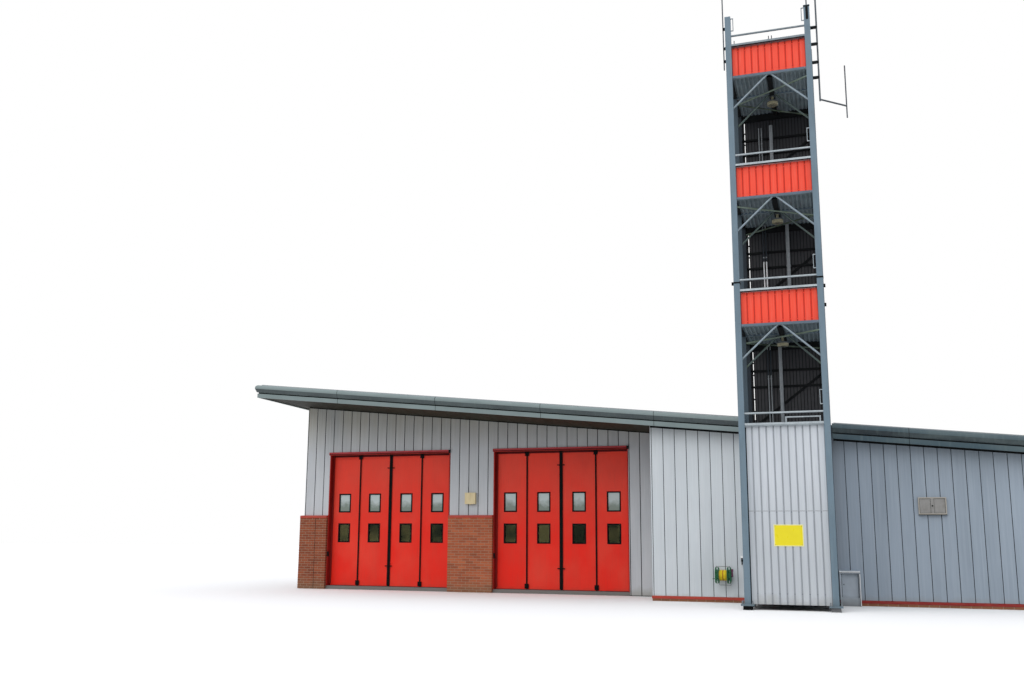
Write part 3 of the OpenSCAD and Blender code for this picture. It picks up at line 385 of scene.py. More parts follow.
# Linings of the doorways: the doors' paint, painted darker for the shade in the reveals
SHADED_LINING_RED = Finish(
    "shaded_red_lining_paint", "#b02a22", 0.5, (2, 0.03), (
        Stain("#94231d", (300, 300, 900), 0.5), Stain("#6f201b", (20, 20, 400), 0.3, 0.58),
    ), specular=0.2, splash="#5f2a22", splash_mm=200,
)
# Left linings and the leaf edges beside them: the same paint, painted darker for the shade of the left reveals, and
# darker upwards towards the head
DEEP_SHADE_RED = Finish(
    "deep_shade_red_lining_paint", "#8a1f1a", 0.55, (2, 0.03), (Stain("#6b1815", (200, 200, 900), 0.5),), specular=0.2,
    fade=Fade("#f2c4b8", "Z", 1.2, 3.2),
)
# Painted shadow under the door heads: dark maroon on the flashings' lower band and along the leaves' tops
HEAD_SHADOW = Finish(
    "painted_head_shadow", "#5d1a1a", 0.7, (2, 0.03), (Stain("#3c1413", (200, 60, 60), 0.5),), specular=0.15,
)
# Flashing over the doorways: crimson coated steel
HEAD_RED = Finish("crimson_head_flashing", "#b52a32", 0.4, PAINT, (Stain("#8d2c30", (400, 400, 60), 0.4),))
# Folded trims: gloss red coat, dirty along their tops; the fade paints shade right of the tower, darker and more
# crimson
TRIM_RED = Finish(
    "gloss_red_steel_trim", "#b73e2e", 0.35, PAINT, (
        Stain("#85392a", (120, 120, 30), 0.5), Stain("#c75742", (300, 300, 60), 0.35, 0.55),
    ), fade=Fade("#c17784", "X", 2.2, 4.8),
)
# Tower panels: bright red coat on profiled sheet, sun-faded towards orange
SHEET_RED = Finish(
    "sun_faded_red_sheet", "#ff553e", 0.42, COAT, (
        Stain("#f5503e", (500, 500, 900), 0.45), Stain("#ff7b6c", (30, 30, 600), 0.35, 0.55),
    ), specular=0.22,
)
# Lower tower sheet: light grey coat on profiled steel, dirty at the foot
SHEET_GREY = Finish(
    "light_grey_profiled_sheet", "#d3d9df", 0.4, COAT, (
        Stain("#b9c0c7", (600, 600, 2200), 0.5), Stain("#999c9c", (12, 12, 700), 0.3, 0.58),
    ), splash="#8f8c82", splash_mm=330, fade=Fade("#eeeeed", "Z", 3.4, 1.2),
)
# Painted shade on the floors of the grey sheet's valleys
VALLEY_SHADE_GREY = Finish(
    "grey_valley_painted_shade", "#989da2", 0.7, (2, 0.03), (Stain("#85898d", (30, 30, 500), 0.5),), specular=0.2,
)
# The same painted shade in the red sheet's valleys
VALLEY_SHADE_RED = Finish(
    "red_valley_painted_shade", "#bf3a2d", 0.6, (2, 0.03), (Stain("#ad3026", (30, 30, 500), 0.5),), specular=0.2,
)
# Grout under the right column: mid-grey cement
GROUT = Finish("cement_grout", "#77787a", 0.9, (3, 0.4), (Stain("#5d5e5f", (40, 40, 30), 0.5),))
# Rear tower sheet: light outside; the face towards the platforms is painted near-black for the shade inside the tower
SHEET_REAR = Finish(
    "profiled_sheet_with_shaded_back", "#91949d", 0.5, COAT, (
        Stain("#191a1e", (500, 500, 1600), 0.3), Stain("#3a3b3f", (20, 20, 800), 0.25, 0.6),
    ), inner="#222328",
)
# Roof edge: blue-grey coated steel; faces looking down are painted dark for their shade, and the fade paints shade
# right of the tower, darker and bluer
FASCIA = Finish(
    "blue_grey_coated_steel", "#7d8c8c", 0.38, PAINT, (
        Stain("#627171", (1200, 1200, 500), 0.5), Stain("#92a29e", (60, 60, 400), 0.12, 0.6),
    ), under="#3d4648", fade=Fade("#738e9f", "X", 2.2, 4.8),
)
# Roof covering: grey coated sheet with a film of moss and dust
ROOF_SHEET = Finish(
    "weathered_roof_sheet", "#858d91", 0.6, (6, 0.3), (
        Stain("#6c7268", (1500, 1500, 800), 0.5, 0.52), Stain("#9ba1a3", (700, 120, 400), 0.4),
    ),
)
# Soffit boards: olive-brown coated boards, dusty, painted dark for the shade under the eaves; the fade paints deeper
# shade towards the left end
SOFFIT = Finish(
    "olive_brown_soffit_board", "#2b2a1c", 0.7, (3, 0.05), (
        Stain("#333222", (500, 900, 300), 0.5), Stain("#1f1e13", (60, 60, 60), 0.3, 0.55),
    ), specular=0.2, shade=0.08, fade=Fade("#93936e", "X", -7.5, -10.0),
)
# Tower frame: blue-grey paint on hot-rolled steel, chalky, with rust at a few edges
FRAME_PAINT = Finish(
    "blue_grey_steel_paint", "#6e8391", 0.5, (2.5, 0.06), (
        Stain("#596c78", (300, 300, 1200), 0.55, 0.48), Stain("#849498", (25, 25, 500), 0.3, 0.55),
        Stain("#584031", (30, 30, 45), 0.5, 0.68),
    ), splash="#5c6769", splash_mm=300,
)
# Side posts: the same paint, painted dark for the shade inside the tower
SHADED_POST_PAINT = Finish(
    "shaded_blue_grey_post_paint", "#46545d", 0.6, (2.5, 0.06), (
        Stain("#333d44", (200, 200, 900), 0.5), Stain("#5c6a70", (25, 25, 400), 0.3, 0.6),
    ), specular=0.25,
)
# Rear columns and the conduits' upper lengths: the same paint, painted near-black for the shade inside the tower
SHADED_PAINT = Finish(
    "shaded_steel_paint", "#2b333a", 0.65, (2.5, 0.06), (Stain("#1d2226", (200, 200, 700), 0.5),), specular=0.2,
)
# Black steel: straps, clamps, latches and the fascia's joints; the same near-black paints shade on the joists, girts,
# the fascia's groove, the rear sheet's ribs, the housing's seams and under the eaves
BLACK_AND_SHADE = Finish(
    "black_steel_and_painted_shade", "#121416", 0.75, (2.5, 0.08), (Stain("#1d2120", (120, 120, 120), 0.5),), specular=0.12,
)
# Platform steel: the frame's paint, painted darker for the shade inside the tower, and mossy; faces looking down get a
# lighter blue-grey, a painted tone for how the decks' undersides are lit
PLATFORM_PAINT = Finish(
    "shaded_platform_paint", "#5f7080", 0.6, (2.5, 0.08), (
        Stain("#4f5a60", (300, 300, 100), 0.5), Stain("#6a7163", (120, 120, 60), 0.4, 0.6),
    ), under="#84939a",
)
# Rails: hot-dip galvanised tube; the zinc flakes are drawn three times too coarse to show
GALVANISED = Finish(
    "galvanised_steel_tube", "#a9b2b7", 0.45, (2, 0.03), (Stain("#8b949a", (200, 200, 300), 0.5),), metallic=0.55,
    fade=Fade("#b4b9bd", "Z", 12.9, 13.3), spangle_mm=36,
)
# Braces in the tower: galvanised tube with green algae
BRACE = Finish(
    "weathered_galvanised_brace", "#8e9ca6", 0.55, (2, 0.03), (Stain("#6f7a5e", (160, 160, 160), 0.5, 0.6),),
    metallic=0.3, fade=Fade("#a5aea0", "Y", -2.2, -1.5), spangle_mm=36,
)
# Braces in plan: the same tube, greener, because rain never washes it
PLAN_BRACE = Finish(
    "algae_green_brace", "#76857a", 0.65, (2, 0.05), (
        Stain("#93a39b", (220, 220, 160), 0.6, 0.55), Stain("#627350", (90, 90, 90), 0.5),
    ), specular=0.25, fade=Fade("#8a8e8c", "Y", -1.30, -1.10),
)
# Riser pipe: galvanised tube gone dull grey
PIPE = Finish(
    "dull_grey_riser_pipe", "#868c90", 0.55, (2, 0.03), (Stain("#6c7174", (120, 120, 300), 0.5),), metallic=0.25,
    spangle_mm=36,
)
# Dark zinc on aerials and their brackets
AERIAL = Finish("dull_zinc_aerial_tube", "#575e64", 0.5, ENAMEL, (Stain("#3d4247", (90, 90, 200), 0.6),), metallic=0.4)
# Rubber of gaskets and window frames: matt black, greyed by dust
RUBBER = Finish(
    "dusty_black_rubber", "#0f1011", 0.8, (2, 0.1), (Stain("#2a2a2b", (60, 60, 260), 0.35, 0.58),), specular=0.1,
)
# Floor slab: floated concrete
CONCRETE = Finish("floated_concrete", "#7a7773", 0.85, (5, 0.4), (Stain("#77756f", (300, 300, 100), 0.6),))
# Sounder box: cream moulding, yellowed by the sun
CREAM = Finish("yellowed_cream_moulding", "#e0d0a5", 0.45, (1.5, 0.05), (Stain("#c4b284", (90, 90, 200), 0.5),))
# Lamps: frosted diffuser, gone yellow-brown
DIFFUSER = Finish(
    "yellowed_frosted_diffuser", "#a19c80", 0.4, (3, 0.2), (Stain("#77735a", (70, 70, 50), 0.5),), coat=0.2,
)
# Housing on the wing: warm grey enamel, dirty under its rim
HOUSING = Finish(
    "warm_grey_enamel", "#908f8c", 0.4, ENAMEL, (
        Stain("#777571", (250, 250, 120), 0.5), Stain("#a9a8a5", (40, 40, 200), 0.3, 0.58),
    ),
)
# Frame of the housing: the same enamel, painted lighter as a highlight on its raised rim
LIT_HOUSING_FRAME = Finish("lit_grey_enamel", "#aca79c", 0.4, ENAMEL, (Stain("#8f8b82", (200, 200, 60), 0.4),))
# Inlet cupboard: galvanised sheet, painted blue-grey
CUPBOARD = Finish(
    "blue_grey_cupboard_paint", "#b7c1ca", 0.42, ENAMEL, (Stain("#a3adb6", (160, 160, 260), 0.5),), splash="#6f6d68",
)
# Near-white strips on the inlet cupboard's hood and cheek; the same colour paints a highlight on the conduits' length
# on the second storey
WHITE_EDGE_AND_HIGHLIGHT = Finish("white_edge_and_painted_highlight", "#f2f4f4", 0.35, (1, 0.02), (Stain("#c3c8ca", (80, 80, 120), 0.4),))
# Plain plate: yellow enamel
PLATE = Finish("yellow_enamel_plate", "#f0e019", 0.32, COAT, (Stain("#e2ce12", (220, 220, 160), 0.25, 0.52),))
# Edge of the plate, where the enamel is worn pale
PLATE_EDGE = Finish("pale_enamel_edge", "#f2efb5", 0.35, COAT, (Stain("#dcd48c", (60, 60, 60), 0.4),))
# Hose reel: moulded green plastic
GREEN_PLASTIC = Finish(
    "dark_green_moulded_plastic", "#1d6640", 0.42, MOULDED, (Stain("#2f7d50", (40, 40, 40), 0.5),),
)
# Wound hose: soft yellow plastic, dusty
HOSE = Finish(
    "soft_yellow_hose_plastic", "#ead522", 0.45, MOULDED, (Stain("#b59c1c", (30, 30, 30), 0.5),),
    palette=("#f0dc24", "#dcb722", "#b56f22"),
)
# Nozzle of the hose: plum-coloured plastic
NOZZLE = Finish("plum_plastic_nozzle", "#6d3c58", 0.4, MOULDED, (Stain("#4b2a40", (20, 20, 20), 0.5),))
# Tap's box: white plastic, a little chalky
WHITE_PLASTIC = Finish("chalky_white_plastic", "#f3f4f4", 0.5, MOULDED, (Stain("#dedfdf", (40, 40, 40), 0.4),))
# Bolts, screws and clips: zinc-plated steel, dulled
ZINC = Finish(
    "dull_zinc_plated_fixings", "#7d848a", 0.45, (1, 0.03), (Stain("#54504a", (20, 20, 20), 0.5, 0.55),), metallic=0.6,
)
# Glass in the door leaves, with painted reflections: green patches in the lower panes and a pale sky reflection on the
# upper panes
PANES = Glass(
    "float_glass_with_painted_reflections", "#aebbb8", "#bccac9", "#76857a", "#d8cf90", "#66705a", 2.1, (2.46, 2.66),
)

NODES_OF = {
    CONCRETE: "floor_slab", JOINT_PALE: "wing_front_wall", ROOF_SHEET: "roof_deck",
    JOINT: "bay_wall_piers bay_wall_over_doors step_return_wall left_end_wall right_end_wall back_wall "
           "soffit_canopy soffit_wing soffit_back soffit_ends",
    MORTAR: "brick_piers brick_plinth_left_end brick_plinth_back brick_base_course",
    TRIM_RED: "plinth_flashing wing_drip_trim", SHADED_LINING_RED: "door_1_surround door_2_surround",
    DOOR_RED: "door_1_leaves door_2_leaves", PANES: "door_glazing", RUBBER: "window_rubbers door_seals",
    FASCIA: "roof_fascia_front roof_fascia_back roof_verge_left roof_verge_right",
    FRAME_PAINT: "tower_columns_front", SHADED_PAINT: "tower_columns_rear", SHADED_POST_PAINT: "tower_side_posts",
    PLATFORM_PAINT: "tower_platform_1 tower_platform_2 tower_platform_3 tower_platform_4",
    SHEET_GREY: "tower_lower_cladding", SHEET_RED: "tower_red_panels", SHEET_REAR: "tower_rear_cladding",
    BLACK_AND_SHADE: "tower_rear_girts outside_tap", BRACE: "tower_knee_braces", PLAN_BRACE: "tower_plan_braces",
    GALVANISED: "tower_handrails", PIPE: "dry_riser", DIFFUSER: "platform_lamps",
    AERIAL: "aerial_mast aerial_whip", CREAM: "alarm_box", HOUSING: "wing_cabinet", PLATE: "notice_plate",
    CUPBOARD: "riser_inlet_box", GREEN_PLASTIC: "hose_reel",
}


class Piece:
    """One visible piece while it is being shaped."""

    def __init__(self, name: str) -> None:
        """Starts an empty piece with the given name."""
        self.name = name
        self.mesh = bmesh.new()
        self.tone = self.mesh.faces.layers.float.new("tone")

    def box(self, low: Point, high: Point, place: Matrix | None = None, tone: float = 0.5) -> Verts:
        """Adds a box.

        Args:
            low: Low corner.
            high: High corner.
            place: Turns and moves the box into the station's frame.
            tone: Shade of its faces, from 0 to 1.

        Returns:
            Its vertices.
        """
        made = bmesh.ops.create_cube(self.mesh, size=1.0)["verts"]
        low_v, high_v = Vector(low), Vector(high)
        bmesh.ops.scale(self.mesh, vec=high_v - low_v, verts=made)
        bmesh.ops.translate(self.mesh, vec=(low_v + high_v) / 2, verts=made)
        if place is not None:
            bmesh.ops.transform(self.mesh, matrix=place, verts=made)
        for face in {f for v in made for f in v.link_faces}:
            face[self.tone] = tone
        return made

    def boxes(self, *corners: tuple[Point, Point]) -> "Piece":
        """Adds several boxes, each by its low and high corner, and gives the piece back."""
        for low, high in corners:
            self.box(low, high)
        return self

    def rim(self, low: Point, high: Point, width: float, inset: float) -> "Piece":
        """Frames an upright rectangle with two level bars and two upright bars.

        Args:
            low: Low corner of the whole frame.
            high: High corner of the whole frame.
            width: Width of each bar.
            inset: Distance of the upright bars' ends from the top and the foot.

        Returns:
            The piece.
        """
        (x0, y0, z0), (x1, y1, z1) = low, high
        for z in (z0, z1 - width):
            self.box((x0, y0, z), (x1, y1, z + width))
        for x in (x0, x1 - width):
            self.box((x, y0, z0 + inset), (x + width, y1, z1 - inset))
        return self

    def rod(self, start: Point, end: Point, width: float, sides: int = 12, tip: float | None = None) -> Verts:
        """Adds a round or many-sided bar.

        Args:
            start: Middle of one end.
            end: Middle of the other end.
            width: Diameter.
            sides: Number of sides.
            tip: Diameter at the end, when it tapers.

        Returns:
            Its vertices.
        """
        a, b = Vector(start), Vector(end)
        turn = (b - a).to_track_quat("Z", "Y").to_matrix().to_4x4()
        return bmesh.ops.create_cone(
            self.mesh, cap_ends=True, segments=sides, radius1=width / 2, radius2=(width if tip is None else tip) / 2,
            depth=(b - a).length, matrix=Matrix.Translation((a + b) / 2) @ turn,
        )["verts"]

    def bevel(self, edges: list[bmesh.types.BMEdge], width: float, segments: int = 2) -> None:
        """Rounds some edges."""
        bmesh.ops.bevel(
            self.mesh, geom=edges, offset=width, offset_type="OFFSET", segments=segments, profile=0.5,
            affect="EDGES", clamp_overlap=True, material=-1,
        )

    def soften(self, verts: Verts, width: float, segments: int = 2) -> None:
        """Rounds every edge between some vertices."""
        inside = set(verts)
        edges = {e for v in inside for e in v.link_edges}
        self.bevel([e for e in edges if inside.issuperset(e.verts)], width, segments)

    def repeat(self, unit: bpy.types.Mesh, place: Matrix, tone: float | None = None) -> None:
        """Adds a copy of a unit mesh.

        Args:
            unit: Mesh that is repeated.
            place: Turns, scales and moves the copy.
            tone: Shade of its faces, unless it keeps the unit's.
        """
        copy = unit.copy()
        copy.transform(place)
        if tone is not None:
            copy.attributes["tone"].data.foreach_set("value", [tone] * len(copy.polygons))
        self.mesh.from_mesh(copy)
        bpy.data.meshes.remove(copy)

    def as_unit(self) -> bpy.types.Mesh:
        """Turns the shape so far into a unit mesh for repeat()."""
        unit = bpy.data.meshes.new(self.name)
        self.mesh.to_mesh(unit)
        self.mesh.free()
        return unit

    def done(self, finish: Finish, slot: str, smooth: bool = False, replaces: Sequence[str] = ()) -> None:
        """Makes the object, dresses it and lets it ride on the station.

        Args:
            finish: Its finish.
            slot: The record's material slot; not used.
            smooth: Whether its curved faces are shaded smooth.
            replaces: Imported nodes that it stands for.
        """
        bmesh.ops.recalc_face_normals(self.mesh, faces=self.mesh.faces)
        mesh = self.as_unit()
        made = bpy.data.objects.new(self.name, mesh)
        bpy.context.scene.collection.objects.link(made)
        mesh.materials.append(finish.material())
        if smooth:
            mesh.shade_smooth()
            mesh.set_sharp_from_angle(angle=math.radians(40.0))
        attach(made, "root")
        if replaces:
            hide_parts(*replaces)
        logger.info("%s: %d faces, %s", made.name, len(mesh.polygons), finish.name)


class Station:
    """Where the walls, doors and roof stand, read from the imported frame."""

    door_rebate: float = 0.012

    def __init__(self) -> None:
        """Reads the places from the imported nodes' boxes."""
        piers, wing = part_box("bay_wall_piers"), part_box("wing_front_wall")
        bricks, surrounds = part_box("brick_piers"), [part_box("door_1_surround"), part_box("door_2_surround")]
        self.bay_x, self.step_y, self.top_bay_z = piers[0].x, piers[0].y, piers[1].z
        self.wing_x, self.top_step_z = wing[1].x, wing[1].z
        self.back_y, self.floor_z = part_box("back_wall")[1].y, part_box("floor_slab")[1].z
        self.plinth_z, self.plinth_out = bricks[1].z, piers[0].y - bricks[0].y
        self.trim_z, self.foot_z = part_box("plinth_flashing")[1].z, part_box("wing_drip_trim")[1].z
        self.doors = [(low.x + self.door_rebate, high.x - self.door_rebate) for low, high in surrounds]
        self.head_z = surrounds[0][1].z
        self.fall = (self.top_bay_z - self.top_step_z) / -self.bay_x

    def wall_place(self, side: Side, x: float, y: float) -> Matrix:
        """Frame of a wall: X runs along it to the right, Y goes into it and Z is up.

        Args:
            side: The way the wall faces.
            x: Place of its left end, as seen from outside.
            y: The same end's place from front to back.

        Returns:
            Matrix from that frame to the station's.
        """
        inward = -Vector(side.value)
        turn = Matrix((inward.cross(UP), inward, UP)).transposed().to_4x4()
        return Matrix.Translation((x, y, 0.0)) @ turn


@dataclass
class Brickwork:
    """Bricks in stretcher bond that stand a little in front of their mortar."""

    station: Station
    brick: float = 0.215
    bed: float = 0.075
    joint: float = 0.010
    proud: float = 0.005
    depth: float = 0.015
    arris: float = 0.003
    uneven: float = 0.0012
    movement_joint: float = 0.53
    seed: int = 11

    def unit(self) -> bpy.types.Mesh:
        """Shapes one stretcher of real size, with worn arrises and no back face."""
        piece = Piece("brick_unit")
        verts = piece.box((-0.5, 0.0, -0.5), (0.5, 1.0, 0.5))
        back = [f for f in piece.mesh.faces if f.calc_center_median().y > 0.9]
        bmesh.ops.delete(piece.mesh, geom=back, context="FACES")
        bmesh.ops.scale(piece.mesh, vec=(self.brick, self.depth, self.bed - self.joint), verts=verts)
        piece.bevel([e for e in piece.mesh.edges if not e.is_boundary], self.arris, 1)
        return piece.as_unit()

    def lay(self, piece: Piece, high: float, side: Side, x: float, y: float, length: float, half_first: bool) -> None:
        """Lays the bricks of one wall face.

        Args:
            piece: Piece that gets the bricks.
            high: Height of the face.
            side: The way the face looks.
            x: Place of its left end, as seen from outside.
            y: The same end's place from front to back.
            length: Length of the face.
            half_first: Whether the lowest row starts with a half brick.
        """
        place = self.station.wall_place(side, x, y)
        rows = max(1, round(high / self.bed))
        bed = high / rows
        tall = (bed - self.joint) / (self.bed - self.joint)
        halves = max(1, round((length + self.joint) / ((self.brick + self.joint) / 2)))
        half = (length + self.joint) / halves
        for row in range(rows):
            start = 0
            span = 1 if (row % 2 == 0) == half_first else 2
            while start < halves:
                span = min(span, halves - start)
                middle = (start + span / 2) * half - self.joint / 2
                step = -self.proud + self.rng.uniform(0.0, self.uneven)
                local = Matrix.Translation((middle, step, (row + 0.5) * bed))
                scale = Matrix.Diagonal(((span * half - self.joint) / self.brick, 1.0, tall, 1.0))
                piece.repeat(self.one, place @ local @ scale, self.rng.betavariate(2.2, 2.2))
                start += span
                span = 2

    def build(self) -> None:
        """Lays every brick face of the station."""
        self.rng = random.Random(self.seed)
        self.one = self.unit()
        s = self.station
        out, lap = s.plinth_out, self.depth - self.proud
        front, back, left = s.step_y - out, s.back_y + out, s.bay_x - out
        jamb = out - lap - 0.014
        (door_1, door_1_end), (door_2, _) = s.doors
        split = left + self.movement_joint
        base, base_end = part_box("brick_base_course")
        depth = base_end.y - base.y
        walls = (
            ("pier_bricks", s.plinth_z, (
                (Side.FRONT, left - self.proud, front, split - left, False),
                (Side.FRONT, split + self.joint, front, door_1 - split - self.joint, True),
                (Side.FRONT, door_1_end, front, door_2 - door_1_end, False),
                (Side.RIGHT, door_1, front + lap, jamb, True),
                (Side.LEFT, door_1_end, front + lap + jamb, jamb, True),
                (Side.RIGHT, door_2, front + lap, jamb, True),
            )),
            ("left_end_bricks", s.plinth_z, ((Side.LEFT, left, back - lap, back - front - 2 * lap, True),)),
            ("back_bricks", s.plinth_z, ((Side.BACK, 0.0, back, -left + self.proud, False),)),
            ("base_course_bricks", base_end.z, (
                (Side.FRONT, base.x, base.y, base_end.x - base.x, False),
                (Side.LEFT, base.x, s.step_y, s.step_y - base.y - lap, True),
                (Side.RIGHT, base_end.x, base.y + lap, depth - 2 * lap, True),
                (Side.BACK, base_end.x, base_end.y, base_end.x, False),
            )),
        )
        for name, high, faces in walls:
            piece = Piece(name)
            for face in faces:
                self.lay(piece, high, *face)
            piece.done(BRICK, "brick")
        low, high = (split - 0.002, front - 0.002, 0.0), (split + self.joint, front + 0.01, s.plinth_z)
        Piece("movement_joint_mastic").boxes((low, high)).done(RUBBER, "black_rubber")


@dataclass
class Cladding:
    """Upright steel planks on the walls, with shadow gaps between them."""

    station: Station
    pitch: float = 0.300
    gap: float = 0.021
    wing_gap: float = 0.016
    proud: float = 0.012
    edge: float = 0.004
    least: float = 0.010
    overshoot: float = 0.1
    under_roof: float = 0.001
    step_foot: float = 0.02
    bay_joint_x: float = -10.848
    end_joint: float = 0.150
    wing_joint: float = 0.278
    lit_joint: float = 0.328
    lit_to: float = 3.5
    seed: int = 5

    def planks(
        self, name: str, side: Side, x: float, y: float, joint: float, stretches: Sequence[tuple[float, ...]],
        finish: Finish = PLANK,
    ) -> None:
        """Clads one wall.

        Args:
            name: Name of the piece.
            side: The way the wall faces.
            x: Place of its left end, as seen from outside.
            y: The same end's place from front to back.
            joint: Distance of any joint from that end.
            stretches: Start, end and foot height of each stretch of wall.
            finish: Finish of the planks.
        """
        s = self.station
        piece = Piece(name)
        place = s.wall_place(side, x, y)
        inverse = place.inverted()
        first = joint % self.pitch - self.pitch
        gap = self.gap if finish is PLANK else self.wing_gap
        tones: dict[int, float] = {}
        for start, end, foot in stretches:
            for i in range(math.ceil((end - first) / self.pitch)):
                left, right = first + i * self.pitch, first + (i + 1) * self.pitch
                if right <= start or left >= end:
                    continue
                tone = tones.setdefault(i, self.rng.random())
                left, right = max(start, left + gap / 2), min(end, right - gap / 2)
                if right - left < self.least:
                    continue
                verts = piece.box((left, -self.proud, foot), (right, 0.0, s.top_bay_z + self.overshoot), place, tone)
                piece.bevel([
                    e for e in {e for v in verts for e in v.link_edges}
                    if abs((e.verts[0].co - e.verts[1].co).z) > 0.1
                    and all((inverse @ v.co).y < -self.proud / 2 for v in e.verts)
                ], self.edge)
        cut = bmesh.ops.bisect_plane(
            piece.mesh, geom=[*piece.mesh.verts, *piece.mesh.edges, *piece.mesh.faces],
            plane_co=(0.0, 0.0, s.top_step_z - self.under_roof), plane_no=(s.fall, 0.0, 1.0), clear_outer=True,
        )["geom_cut"]
        bmesh.ops.holes_fill(piece.mesh, edges=[e for e in cut if isinstance(e, bmesh.types.BMEdge)])
        piece.done(finish, "light_cladding")

    def build(self) -> None:
        """Clads every wall."""
        self.rng = random.Random(self.seed)
        s = self.station
        (door_1, door_1_end), (door_2, door_2_end) = ((a - s.bay_x, b - s.bay_x) for a, b in s.doors)
        end_x, proud = s.wing_x, self.proud
        split = self.wing_joint + round((self.lit_to - self.wing_joint) / self.pitch) * self.pitch
        self.planks("bay_planks", Side.FRONT, s.bay_x, s.step_y, self.bay_joint_x - s.bay_x, [
            (-proud, door_1, s.trim_z), (door_1, door_1_end, s.head_z), (door_1_end, door_2, s.trim_z),
            (door_2, door_2_end, s.head_z), (door_2_end, -s.bay_x - proud, self.step_foot),
        ])
        # The wing's left planks take the lit copy, those right of the tower the painted-shade copy
        self.planks(
            "wing_front_planks_left", Side.FRONT, 0.0, 0.0, self.lit_joint, [(-proud, split, s.foot_z)], PLANK_LIT,
        )
        self.planks(
            "wing_front_planks_right", Side.FRONT, 0.0, 0.0, self.wing_joint, [(split, end_x + proud, s.foot_z)],
            PLANK_SHADED,
        )
        for name, side, x, y, joint, stretches in (
            ("step_return_planks", Side.LEFT, 0.0, s.step_y, s.step_y, [(0.0, s.step_y, s.foot_z)]),
            ("left_end_planks", Side.LEFT, s.bay_x, s.back_y, self.end_joint, [(0.0, s.back_y - s.step_y, s.trim_z)]),
            ("right_end_planks", Side.RIGHT, end_x, 0.0, self.end_joint, [(0.0, s.back_y, s.foot_z)]),
            ("back_planks", Side.BACK, end_x, s.back_y, self.end_joint, [
                (-proud, end_x, s.foot_z), (end_x, end_x - s.bay_x + proud, s.trim_z),
            ]),
        ):
            self.planks(name, side, x, y, joint, stretches)


